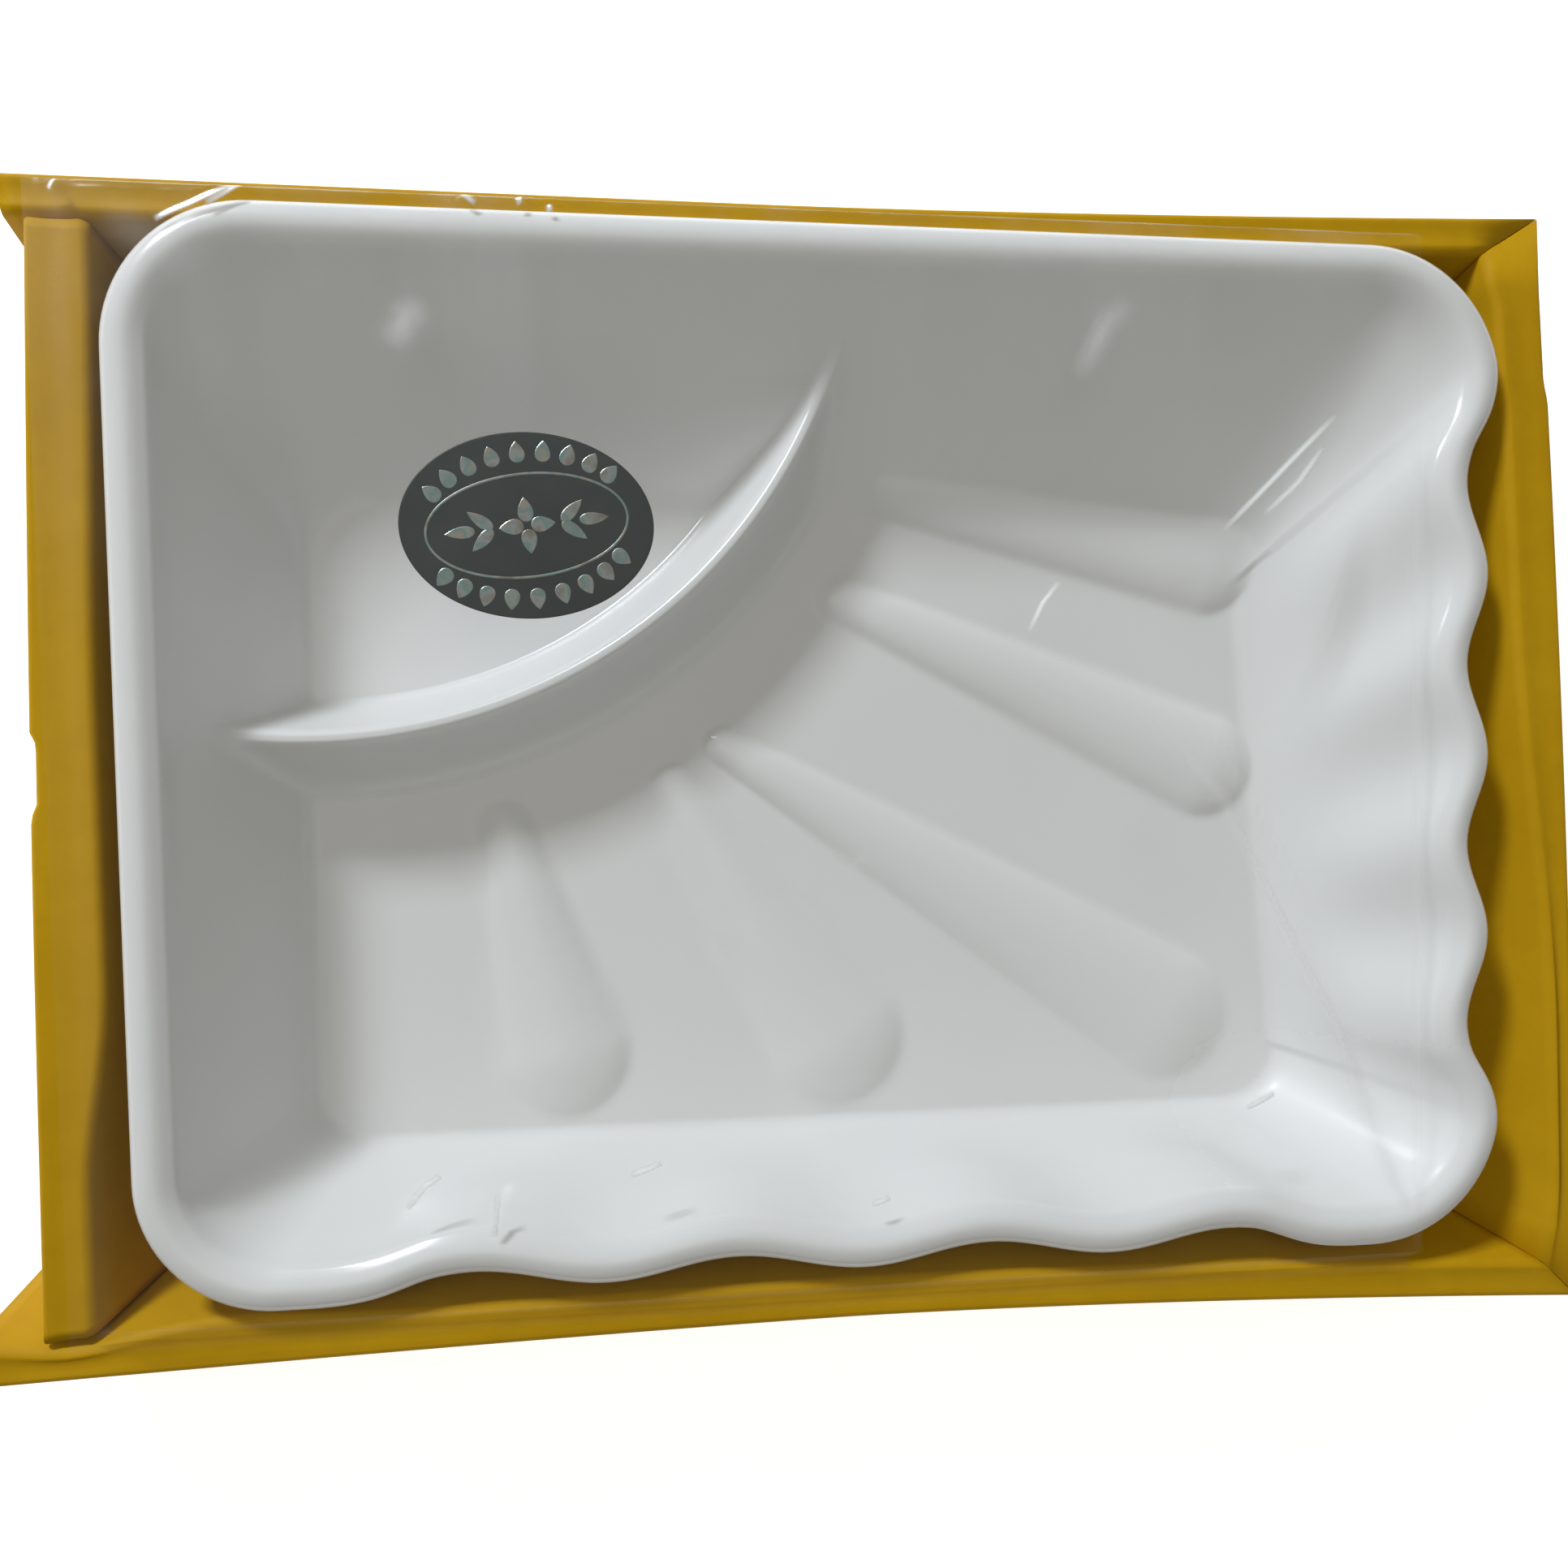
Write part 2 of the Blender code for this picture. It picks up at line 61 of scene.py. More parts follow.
FOOT_Z, UNDERSIDE_Z, FLOOR_Z, RIM_Z = 1.9, 4.6, 9.0, 50.0
RIM_WIDTH, INNER_TOP_Z, OUTER_TOP_Z = 10.0, 47.6, 43.0
WALL_OUT, WALL_TOP_IN = 5.0, 5.2
RIM_POINTS_PER_SPAN = 3
RIM_ROLL = (  # inward from the rim's widest line, and height
    (RIM_WIDTH, INNER_TOP_Z),
    (7.2, 49.4),
    (4.8, RIM_Z),
    (2.2, 49.4),
    (0.6, 48.2),
    (0.0, 46.9),
    (0.8, 45.3),
    (2.6, 44.5),
    (4.6, 44.4),
)
FOOT_RING = (  # outward from the floor's edge, and height
    (5.0, UNDERSIDE_Z),
    (4.4, 3.2),
    (3.9, 2.1),
    (3.2, FOOT_Z),
    (-0.4, FOOT_Z),
    (-1.2, 2.2),
    (-2.0, UNDERSIDE_Z),
)
FLOOR_RINGS, WALL_RINGS, OUTER_RINGS = 42, 36, 12
MIDDLE_SHARE = 0.03  # the innermost ring's size, as a share of the level floor's
FLOOR_START = 1.1  # the level floor starts at this share of the way in from the rim to the floor's edge
WALL_MEETS_FLOOR, WALL_FILLET = 0.97, 0.08  # the wall would meet the floor at this share, and is blended
LIP_RISE, LIP_OVER = 0.03, 0.12  # the wall stands this much higher at the rim, fading over this share

DIVIDER_CENTRE = (-129.0, 143.5)
DIVIDER_TOP = 29.9
DIVIDER_INSIDE = {"radius": 134.8, "slope": 2.35}
DIVIDER_OUTSIDE = {"radius": 138.0, "slope": 2.3}
DIVIDER_BLEND = 4.0
DIVIDER_CAP, DIVIDER_CAP_BLEND = 0.3, 2.4  # how far over the top the crest's cap lies, and its blend
DIVIDER_FILLETS = (3.0, 9.0)  # inside and outside
FILLET_CHANGE = (130.0, 9.0)  # the fillet changes from this radius on, over this much
DIVIDER_BANDS = ((121.0, 152.0, 2), (131.5, 141.5, 3), (124.0, 128.5, 3))  # from, to, how finely meshed
RIBS = (
    ((106.0, 53.5, 12.7), (16.0, 70.7, 4.7)),
    ((105.0, -0.5, 14.0), (4.0, 44.5, 5.6)),
    ((93.0, -68.5, 17.9), (-27.0, 5.7, 4.7)),
    ((1.5, -72.0, 18.0), (-40.0, -5.0, 6.0)),
    ((-70.0, -73.5, 16.5), (-84.0, -14.0, 6.0)),
)
RIB_RISE = (3.5, 2.1)
RIB_FULLNESS = 0.8  # the power of the crown's curve: lower is fuller
RIB_BLEND = 1.1
RIB_EDGE_BAND = 3.5

# ---- carton ----
CARD, GAP, MITRE_GAP, TOP_Z = 1.6, 0.3, 0.2, 44.0
FOOT = {"left": -177.0, "right": 190.0, "front": -132.5, "back": 134.0}
FOOT_DEPTH = {"left": 26.0, "right": 30.0, "front": 24.0, "back": 22.0}
BACK_CORNER, BACK_CORNER_INNER = (186.7, 139.2), (171.4, 129.8)
FRONT_CORNER, FRONT_CORNER_INNER = (198.5, -139.2), (188.6, -129.4)
MITRE_RUN = 4.0  # the last plain station stands this far short of a mitred corner
EAR_FOOT_X = {"back": -177.0, "front": -186.0}
WALL_STEPS = 110

# The walls' tops bow and change width. Bows and changes are (by, from, over), some with a power.
BACK_Y, BACK_TOP_WIDTH = 134.8, 8.8
BACK_BOW = (4.4, -8.0, 194.7, 1.5)
FRONT_Y, FRONT_TOP_WIDTH = -132.3, 9.5
FRONT_MIDDLE_X = 5.0
FRONT_BOW_RIGHT = (6.9, 193.5, 1.6)
FRONT_BOW_LEFT = (3.6, 200.0, 1.5)
FRONT_SWELL = (2.2, -138.0, 22.0)
FRONT_PINCH = (2.6, -176.0, 14.0)
RIGHT_X, RIGHT_TOP_WIDTH = 186.7, 12.4
RIGHT_LEAN, RIGHT_BOW = 11.8, 1.7
RIGHT_STEP, RIGHT_STEP_FROM = (0.9, 99.5, 7.6), -0.5
RIGHT_STEP_FADES = (12.0, 90.0)  # from the back corner and from the front one
RIGHT_NARROWS = (6.0, 40.0, 110.0)
RIGHT_WIDENS_FRONT = (1.8, -106.0, 26.0)
RIGHT_WIDENS_BACK = (3.2, 114.0, 16.0)
RIGHT_ENDS_Y = (121.0, -120.0)
LEFT_X, LEFT_LEAN, LEFT_BOW = -176.3, 5.6, 0.8
LEFT_HALF_LENGTH = 126.0
LEFT_DENT, LEFT_DENT_Y, LEFT_DENT_EDGE = 1.3, (12.0, -7.5), 3.0
LEFT_RIDGE_X = -163.0
LEFT_WIDTH_CHANGES = ((2.4, 127.0, 110.0), (5.4, -45.0, 50.0))
LEFT_TOP_Y, LEFT_TOP_OUTER_Y = (125.0, -125.3), (125.0, -126.4)
LEFT_FOOT_CLEAR = 0.5

# The card's section: folds, the softened edge of the outside skin, and the heights between the folds
FOLD_RADIUS, RIDGE_RADIUS = 1.5, 1.8
FOLD_STEPS = 5
SKIN_HEIGHTS = (0.0, 14.0, 28.0, 41.6)
SKIN_EDGE = ((0.4, 42.1), (1.2, 42.1))
STRIP_LOW_Z = 42.2
TOP_SAG, SAG_SHARES = 0.35, (0.3, 0.5, 0.7)
INSIDE_HEIGHTS = (36.0, 28.0, 20.0, 12.0)
UNDER_BEVEL = 0.6


def smooth(t):
    t = np.clip(t, 0.0, 1.0)
    return t * t * (3.0 - 2.0 * t)


def soft_max(a, b, width):
    """The larger of the two, blended over this difference."""
    h = np.clip(1.0 - np.abs(a - b) / width, 0.0, 1.0)
    return np.maximum(a, b) + h * h * width / 4.0


def soft_min(a, b, width):
    return -soft_max(-a, -b, width)


def mix(a, b, t):
    return a + (b - a) * t


def bump(x, shape):
    by, centre, width = shape
    return by * np.exp(-(((x - centre) / width) ** 2))


def eased(place, change):
    """A change that grows smoothly as the place falls from its start."""
    by, start, over = change
    return by * smooth((start - place) / over)


# ---- meshes ----
def new_piece(name, bm, material, rides_on, replaced=(), smooth_shaded=True, shades=True):
    mesh = bpy.data.meshes.new(name)
    bm.to_mesh(mesh)
    bm.free()
    mesh.polygons.foreach_set("use_smooth", [smooth_shaded] * len(mesh.polygons))
    mesh.materials.append(material)
    piece = bpy.data.objects.new(name, mesh)
    piece.visible_shadow = shades
    bpy.context.scene.collection.objects.link(piece)
    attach(piece, rides_on)
    if replaced:
        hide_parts(*replaced)
    return piece


def loft(rings):
    """Closed rings of points, each an (N, 3) array in millimetres, joined and capped."""
    bm = bmesh.new()
    rows = [[bm.verts.new(point) for point in np.asarray(ring) * MM] for ring in rings]
    count = len(rows[0])
    for low, high in zip(rows, rows[1:]):
        for i in range(count):
            j = (i + 1) % count
            bm.faces.new((low[i], low[j], high[j], high[i]))
    bm.faces.new(rows[0])
    bm.faces.new(rows[-1])
    bmesh.ops.recalc_face_normals(bm, faces=bm.faces)
    return bm


def rounded_path(points, per_span):
    """A smooth open path through these points (Catmull-Rom)."""
    points = np.asarray(points, float)
    padded = np.vstack([2 * points[0] - points[1], points, 2 * points[-1] - points[-2]])
    path = []
    for i in range(len(points) - 1):
        a, b, c, d = padded[i : i + 4]
        for t in np.arange(per_span) / per_span:
            bend = (2 * a - 5 * b + 4 * c - d) * t**2
            path.append(0.5 * (2 * b + (c - a) * t + bend + (3 * b - a - 3 * c + d) * t**3))
    return np.array([*path, points[-1]])


# ---- palette shape ----
def rounded_loop(corners, radii):
    """Points round a four-cornered loop with rounded corners, and the direction out at each."""
    points, normals = [], []
    corners = np.asarray(corners, float)
    for number in range(4):
        angle = math.radians(90.0 * number)
        before = (number + 3) % 4
        start, end = corners[before], corners[number]
        length = np.linalg.norm(end - start)
        first, last = radii[before] / length, 1.0 - radii[number] / length
        shares = np.linspace(first, last, SIDE_STEPS[number] + 1)[:-1]
        points += [mix(start, end, share) for share in shares]
        normals += [(math.cos(angle), math.sin(angle))] * len(shares)
        inward = np.sign(end) * radii[number]
        for i in range(CORNER_STEPS):
            turn = angle + math.radians(90.0) * i / CORNER_STEPS
            normal = np.array((math.cos(turn), math.sin(turn)))
            points.append(end - inward + normal * radii[number])
            normals.append(normal)
    return np.array(points), np.array(normals)


def wave(place, shape):
    ramp = 1.0 - smooth((np.abs(place) - shape["full"]) / (shape["gone"] - shape["full"]))
    turn = 2.0 * np.pi * (place - shape["crest"]) / shape["pitch"]
    return (shape["mean"] - shape["swing"] * np.cos(turn)) * ramp


class Dish:
    """Rings of the palette: along its rim, at a share of its wall, or at its foot."""

    def __init__(self):
        left, right, front, back = (OUTLINE[side] for side in ("left", "right", "front", "back"))
        corners = ((right, back), (left, back), (left, front), (right, front))
        self.outline, self.out = rounded_loop(corners, OUTLINE_RADII)
        self.depth = wave(self.outline[:, 1], WAVE_RIGHT) * np.maximum(0.0, self.out[:, 0])
        self.depth += wave(self.outline[:, 0], WAVE_FRONT) * np.maximum(0.0, -self.out[:, 1])
        self.edge, _ = rounded_loop(FLOOR_CORNERS, (FLOOR_RADIUS,) * 4)

    def level(self, plan, z):
        return np.column_stack([plan, np.full(len(plan), z)])

    def rim(self, inward, z):
        return self.level(self.outline - self.out * (self.depth + inward)[:, None], z)

    def wall(self, share, z, top_in, out):
        kept = 1.0 - smooth((share - WAVE_KEPT_TO) / (1.0 - WAVE_KEPT_TO))
        high = self.outline - self.out * (top_in + self.depth * kept)[:, None]
        return self.level(mix(high, self.edge + self.out * out, share), z)

    def foot(self, out, z):
        return self.level(self.edge + self.out * out, z)


def wall_rise(share):
    """How high the wall stands at this share of the way in, from 1 at the rim to 0 on the floor."""
    lip = LIP_RISE * np.clip(1.0 - share / LIP_OVER, 0.0, 1.0) ** 2
    return soft_max(WALL_MEETS_FLOOR - share, 0.0, WALL_FILLET) + lip


def divider_radius(x, y):
    return np.hypot(x - DIVIDER_CENTRE[0], y - DIVIDER_CENTRE[1])


def divider_height(radius):
    inside = DIVIDER_TOP + (radius - DIVIDER_INSIDE["radius"]) * DIVIDER_INSIDE["slope"]
    outside = DIVIDER_TOP - (radius - DIVIDER_OUTSIDE["radius"]) * DIVIDER_OUTSIDE["slope"]
    return soft_min(soft_min(inside, outside, DIVIDER_BLEND), DIVIDER_TOP + DIVIDER_CAP, DIVIDER_CAP_BLEND)


def rib_shape(x, y, ends):
    """How far a point lies from a rib's middle line, and the rib's half width and rise there."""
    (x0, y0, r0), (x1, y1, r1) = ends
    along = np.array((x1 - x0, y1 - y0))
    t = np.clip(((x - x0) * along[0] + (y - y0) * along[1]) / (along @ along), 0.0, 1.0)
    half = mix(r0, r1, t)
    away = np.hypot(x - x0 - along[0] * t, y - y0 - along[1] * t)
    return away, half, mix(RIB_RISE[0], RIB_RISE[1], t)


def shape_interior(x, y, z):
    """The inside surface's height once the ribs and the divider stand on it."""
    rise = np.zeros_like(z)
    for ends in RIBS:
        away, half, height = rib_shape(x, y, ends)
        crown = np.maximum(1.0 - (away / half) ** 2, -1.0)
        crown = np.where(crown > 0.0, np.abs(crown) ** RIB_FULLNESS, crown)
        rise = np.maximum(rise, soft_max(np.zeros_like(z), height * crown, RIB_BLEND))
    radius = divider_radius(x, y)
    start, over = FILLET_CHANGE
    fillet = mix(*DIVIDER_FILLETS, smooth((radius - start) / over))
    return soft_max(z + rise, divider_height(radius), fillet)


def wanted_level(x, y):
    """How many times a face here is split, for the divider's and the ribs' sake."""
    radius = divider_radius(x, y)
    level = np.zeros(x.shape, int)
    for ends in RIBS:
        away, half, _ = rib_shape(x, y, ends)
        level = np.maximum(level, (np.abs(away - half) < RIB_EDGE_BAND).astype(int))
    for low, high, wanted in DIVIDER_BANDS:
        level = np.maximum(level, wanted * ((radius > low) & (radius < high)))
    return level


def palette_mesh():
    """Lofts from the middle of the floor up the wall, over the rim and down the outside to the foot."""
    dish = Dish()
    start = dish.wall(FLOOR_START, FLOOR_Z, RIM_WIDTH, 0.0)
    middle = start.mean(axis=0)
    rings = [mix(middle, start, share) for share in np.linspace(MIDDLE_SHARE, 1.0, FLOOR_RINGS)[:-1]]
    for share in np.linspace(FLOOR_START, 0.0, WALL_RINGS):
        z = FLOOR_Z + (INNER_TOP_Z - FLOOR_Z) * float(wall_rise(share))
        rings.append(dish.wall(share, z, RIM_WIDTH, 0.0))
    inside = len(rings) * len(start)
    rings += [dish.rim(inward, z) for inward, z in rounded_path(RIM_ROLL, RIM_POINTS_PER_SPAN)[1:]]
    for share in np.linspace(0.0, 1.0, OUTER_RINGS)[:-1]:
        z = UNDERSIDE_Z + (OUTER_TOP_Z - UNDERSIDE_Z) * (1.0 - share)
        rings.append(dish.wall(share, z, WALL_TOP_IN, WALL_OUT))
    rings += [dish.foot(out, z) for out, z in FOOT_RING]
    bm = loft(rings)
    bm.verts.ensure_lookup_table()
    marker = bm.verts.layers.int.new("inside")
    for vert in bm.verts[:inside]:
        vert[marker] = 1
    return bm


def split_faces(bm, wanted, level, marker=None):
    """Halves the faces that want at least this level. With a marker, only faces marked all round."""
    centres = np.array([face.calc_center_median()[:2] for face in bm.faces]) / MM
    small = np.array([len(face.verts) <= 4 for face in bm.faces])
    if marker:
        small &= np.array([all(vert[marker] for vert in face.verts) for face in bm.faces])
    chosen = np.flatnonzero(small & (wanted(centres[:, 0], centres[:, 1]) >= level))
    bm.faces.ensure_lookup_table()
    edges = list({edge for i in chosen for edge in bm.faces[i].edges})
    bmesh.ops.subdivide_edges(bm, edges=edges, cuts=1, use_grid_fill=True)


def make_palette(material):
    bm = palette_mesh()
    marker = bm.verts.layers.int["inside"]
    for level in (1, 2, 3):
        split_faces(bm, wanted_level, level, marker)
    inner = [vert for vert in bm.verts if vert[marker] == 1]
    points = np.array([vert.co[:] for vert in inner]) / MM
    heights = shape_interior(points[:, 0], points[:, 1], points[:, 2])
    for vert, z in zip(inner, heights):
        vert.co.z = z * MM
    low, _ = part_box("palette_tray")
    at = Vector((low[0] - OUTLINE["left"] * MM, low[1] - OUTLINE["front"] * MM, 0.0))
    bmesh.ops.translate(bm, verts=bm.verts, vec=at)
    new_piece("palette_dish", bm, material, "palette", ["palette_tray"])


# ---- carton shape ----
def back_outer(x):
    by, start, over, power = BACK_BOW
    return BACK_Y + by * np.maximum(0.0, (x - start) / over) ** power


def back_ridge(x):
    return back_outer(x) - BACK_TOP_WIDTH


def front_outer(x):
    past = x - FRONT_MIDDLE_X
    by, over, power = FRONT_BOW_RIGHT
    right = FRONT_Y - by * (np.maximum(past, 0.0) / over) ** power
    by, over, power = FRONT_BOW_LEFT
    return right - by * (np.maximum(-past, 0.0) / over) ** power


def front_ridge(x):
    return front_outer(x) + FRONT_TOP_WIDTH + bump(x, FRONT_SWELL) - bump(x, FRONT_PINCH)


def right_outer(y):
    back, front = BACK_CORNER[1], FRONT_CORNER[1]
    share = (back - y) / (back - front)
    fade = smooth((back - y) / RIGHT_STEP_FADES[0]) * smooth((y - front) / RIGHT_STEP_FADES[1])
    step = (eased(y, RIGHT_STEP) + RIGHT_STEP_FROM) * fade
    return RIGHT_X + RIGHT_LEAN * share + RIGHT_BOW * np.sin(np.pi * share) + step


def right_ridge(y):
    by, start, over = RIGHT_WIDENS_BACK
    width = RIGHT_TOP_WIDTH - eased(y, RIGHT_NARROWS) + eased(y, RIGHT_WIDENS_FRONT)
    return right_outer(y) - width - by * smooth((y - start) / over)


def left_outer(y):
    share = (LEFT_HALF_LENGTH - y) / (2.0 * LEFT_HALF_LENGTH)
    upper, lower = LEFT_DENT_Y
    dent = LEFT_DENT * smooth((upper - y) / LEFT_DENT_EDGE) * smooth((y - lower) / LEFT_DENT_EDGE)
    return LEFT_X - LEFT_LEAN * share - LEFT_BOW * np.sin(np.pi * share) + dent


def left_ridge(y):
    return LEFT_RIDGE_X - sum(eased(y, change) for change in LEFT_WIDTH_CHANGES)


def foot_lines(wall):
    """The outer and inner lines of the back or front wall's foot, as y."""
    inward = -1.0 if wall == "back" else 1.0
    return FOOT[wall], FOOT[wall] + inward * FOOT_DEPTH[wall]


def mitred_end(wall, shift):
    """The corner where the right wall meets the back or front wall, moved by this much in x and y."""
    at_back = wall == "back"
    corner, inner = (BACK_CORNER, BACK_CORNER_INNER) if at_back else (FRONT_CORNER, FRONT_CORNER_INNER)
    foot_y, foot_in_y = foot_lines(wall)
    foot_x = FOOT["right"]
    points = (corner, inner, (foot_x, foot_y), (foot_x - FOOT_DEPTH["right"], foot_in_y))
    return tuple((x + shift[0], y + shift[1]) for x, y in points)


def along_x(x, *heights):
    return [np.column_stack([x, np.broadcast_to(y, x.shape)]) for y in heights]


def along_y(y, *reaches):
    return [np.column_stack([np.broadcast_to(x, y.shape), y]) for x in reaches]


def long_wall_stations(side, shares):
    outer, ridge = (back_outer, back_ridge) if side == "back" else (front_outer, front_ridge)
    inner_corner = BACK_CORNER_INNER if side == "back" else FRONT_CORNER_INNER
    ear_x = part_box("%s_outer_panel" % side)[0][0] / MM
    x = mix(ear_x, inner_corner[0] - MITRE_RUN, shares)
    foot_x = mix(EAR_FOOT_X[side], FOOT["right"] - FOOT_DEPTH["right"] - MITRE_RUN, shares)
    lines = along_x(x, outer(x), ridge(x)) + along_x(foot_x, *foot_lines(side))
    ends = mitred_end(side, (-MITRE_GAP, 0.0))
    return [np.vstack([line, end]) for line, end in zip(lines, ends)]


def right_wall_stations(shares):
    foot, deep = FOOT["right"], FOOT_DEPTH["right"]
    y = mix(*RIGHT_ENDS_Y, shares)
    foot_y = mix(foot_lines("back")[1] - MITRE_RUN, foot_lines("front")[1] + MITRE_RUN, shares)
    lines = along_y(y, right_outer(y), right_ridge(y)) + along_y(foot_y, foot, foot - deep)
    firsts, lasts = mitred_end("back", (0.0, -MITRE_GAP)), mitred_end("front", (0.0, MITRE_GAP))
    return [np.vstack([first, line, last]) for first, line, last in zip(firsts, lines, lasts)]


def left_wall_stations(shares):
    foot, deep = FOOT["left"], FOOT_DEPTH["left"]
    y, y_outer = mix(*LEFT_TOP_Y, shares), mix(*LEFT_TOP_OUTER_Y, shares)
    foot_y = mix(foot_lines("back")[1] - LEFT_FOOT_CLEAR, foot_lines("front")[1] + LEFT_FOOT_CLEAR, shares)
    top = along_y(y_outer, left_outer(y_outer)) + along_y(y, left_ridge(y))
    return top + along_y(foot_y, foot, foot + deep)


def wall_stations(side):
    """Plan points along a wall: the top's outer and ridge lines and the foot's outer and inner lines."""
    shares = np.linspace(0.0, 1.0, WALL_STEPS)
    if side in ("back", "front"):
        return long_wall_stations(side, shares)
    return right_wall_stations(shares) if side == "right" else left_wall_stations(shares)


def arc(centre, radius, start, end, steps):
    turns = np.radians(np.linspace(start, end, steps + 1))
    return [(centre[0] + radius * math.cos(t), centre[1] + radius * math.sin(t)) for t in turns]


def wall_piece(name, side, profile, material, replaced):
    """Sweeps a profile along a wall, following its lean and its bow.

    A profile point is (share, shift, height): this share of the way from the outer face to the inner
    one, and then this far on.
    """
    top, ridge, foot, foot_in = wall_stations(side)
    across = 1 if side in ("back", "front") else 0
    rings = []
    for i in range(len(top)):
        ring = []
        for share, shift, z in profile:
            rise = z / TOP_Z
            outer = mix(foot[i], top[i], rise)
            inner = mix(foot_in[i], ridge[i], rise)
            here = abs(outer[across] - inner[across])
            ring.append((*mix(outer, inner, (here * share + shift) / here), z))
        rings.append(ring)
    new_piece(name, loft(rings), material, "carton", replaced, smooth_shaded=True)


def outer_profile():
    """The outside skin: a plain card with a softened top edge."""
    points = [(0.0, z) for z in SKIN_HEIGHTS] + [*SKIN_EDGE, (CARD, SKIN_HEIGHTS[-1]), (CARD, 0.0)]
    return [(0.0, depth, z) for depth, z in points]


def roll_over_profile():
    """The flat top and the inside skin, with round folds."""
    fold_z, under = TOP_Z - FOLD_RADIUS, TOP_Z - CARD
    from_outer = [(0.0, STRIP_LOW_Z), (0.0, fold_z)]
    from_outer += arc((FOLD_RADIUS, fold_z), FOLD_RADIUS, 165.0, 90.0, FOLD_STEPS)
    low = CARD + GAP
    from_ridge = arc((RIDGE_RADIUS, TOP_Z - RIDGE_RADIUS), RIDGE_RADIUS, 90.0, 180.0, FOLD_STEPS)
    from_ridge += [(0.0, z) for z in INSIDE_HEIGHTS] + [(0.0, low), (CARD, low)]
    from_ridge += [(CARD, z) for z in reversed(INSIDE_HEIGHTS)]
    from_ridge += [(CARD, under - UNDER_BEVEL), (CARD + UNDER_BEVEL, under)]
    profile = [(0.0, depth, z) for depth, z in from_outer]
    profile += [(share, 0.0, TOP_Z - TOP_SAG * math.sin(math.pi * share)) for share in SAG_SHARES]
    profile += [(1.0, -depth, z) for depth, z in from_ridge]
    return [*profile, (0.0, CARD, under)]


def make_carton(material):
    for side in ("back", "front", "right", "left"):
        outer, roll = "%s_outer_panel" % side, "%s_roll_over_panel" % side
        wall_piece("%s_card_skin" % side, side, outer_profile(), material, [outer])
        wall_piece("%s_card_top" % side, side, roll_over_profile(), material, [roll])
    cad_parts["carton_base"].data.materials.clear()
    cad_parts["carton_base"].data.materials.append(material)


# ---- film ----
FILM_X, FILM_Y = (-176.0, 150.0), (-129.0, 133.4)
FILM_FLAT_X, FILM_FLAT_Y = (-161.4, 150.0), (-122.0, 130.2)
FILM_HIGH, FILM_LOW = 50.45, 44.5
FILM_DROPS = {"left": 13.0, "front": 3.6, "back": 3.2}
FILM_CLEARANCE = 0.28
FILM_CURL, FILM_CURL_WIDTH = 0.35, 3.0  # at the free right edge
FILM_STEP = 1.6
# Fine pulls towards the back: height, radians per millimetre of x, wander in radians, radians per
# millimetre of y, from y, over
FILM_PULLS = ((0.10, 0.31, 1.2, 0.045, 40.0, 70.0), (0.07, 0.83, 0.6, 0.07, 60.0, 50.0))
# Broad swells: height, share of x, share of y, radians per millimetre, phase
FILM_SWELLS = ((0.06, 0.5, 0.8, 0.09, 0.0), (0.05, 0.9, -0.4, 0.06, 1.0))
CREASE_NEAR, FOLD_NEAR = 3.0, 2.2  # the mesh is finer this close to a crease or a fold
LONG_CREASE_END = (
    (75.0, 20.0),
    (98.0, -7.7),
    (117.0, -45.0),
    (128.0, -65.0),
    (138.0, -94.0),
    (148.0, -114.0),
)
# Soft creases: path, height, width
FILM_CREASES = (
    (((62.0, 48.6), *LONG_CREASE_END), 0.5, 1.5),
    (((40.0, 66.0), (62.0, 48.6), (84.0, 52.0)), 0.3, 1.5),
    (((98.0, -8.0), (84.0, -26.0), (60.0, -34.0)), 0.25, 1.8),
    (((-138.0, 123.0), (-120.0, 110.0), (-96.0, 104.0)), 0.4, 1.4),
    (((-98.0, 112.0), (-84.0, 80.0), (-92.0, 60.0)), 0.3, 2.2),
    (((62.0, 108.0), (54.0, 86.0), (50.0, 70.0)), 0.3, 1.8),
)
# Sharp folds that catch the light: path, height
FILM_FOLDS = (
    (((98.5, 57.5), (118.0, 76.5), (128.0, 86.0)), 0.55),
    (((109.0, 61.5), (118.0, 69.5), (125.0, 79.0)), 0.4),
    (((151.0, 106.0), (157.0, 110.0)), 0.35),
    (((49.5, 33.0), (53.0, 40.0), (57.5, 45.5)), 0.5),
    (((-81.0, 131.0), (-78.0, 128.5)), 0.4),
    (((-68.0, 131.0), (-67.5, 129.0)), 0.4),
    (((-61.2, 129.3), (-61.0, 127.5)), 0.3),
    (((-146.5, 122.5), (-140.0, 125.5), (-128.5, 131.0)), 0.5),
    (((-135.5, 126.0), (-128.0, 131.0)), 0.4),
    (((-169.5, 130.0), (-167.5, 132.0)), 0.4),
    (((-99.0, -98.0), (-95.0, -93.0), (-91.5, -91.0)), 0.5),
    (((-79.5, -105.5), (-78.5, -95.5)), 0.4),
    (((-48.0, -93.0), (-41.0, -90.5)), 0.45),
    (((9.0, -103.0), (13.3, -101.5)), 0.5),
    (((103.5, -84.0), (111.0, -80.5)), 0.45),
)
# The second pair sets each fold's whitened core in the film's material, partly real whitening and partly a
# painted glint.
FOLD_WIDTHS, FOLD_WHITENING_AND_GLINT_CORES = (0.65, 2.6), (0.95, 0.35)  # on the steep side and on the gentle one
FOLD_FACING = (-0.0055, 0.0084)  # a small step the way the steep side faces
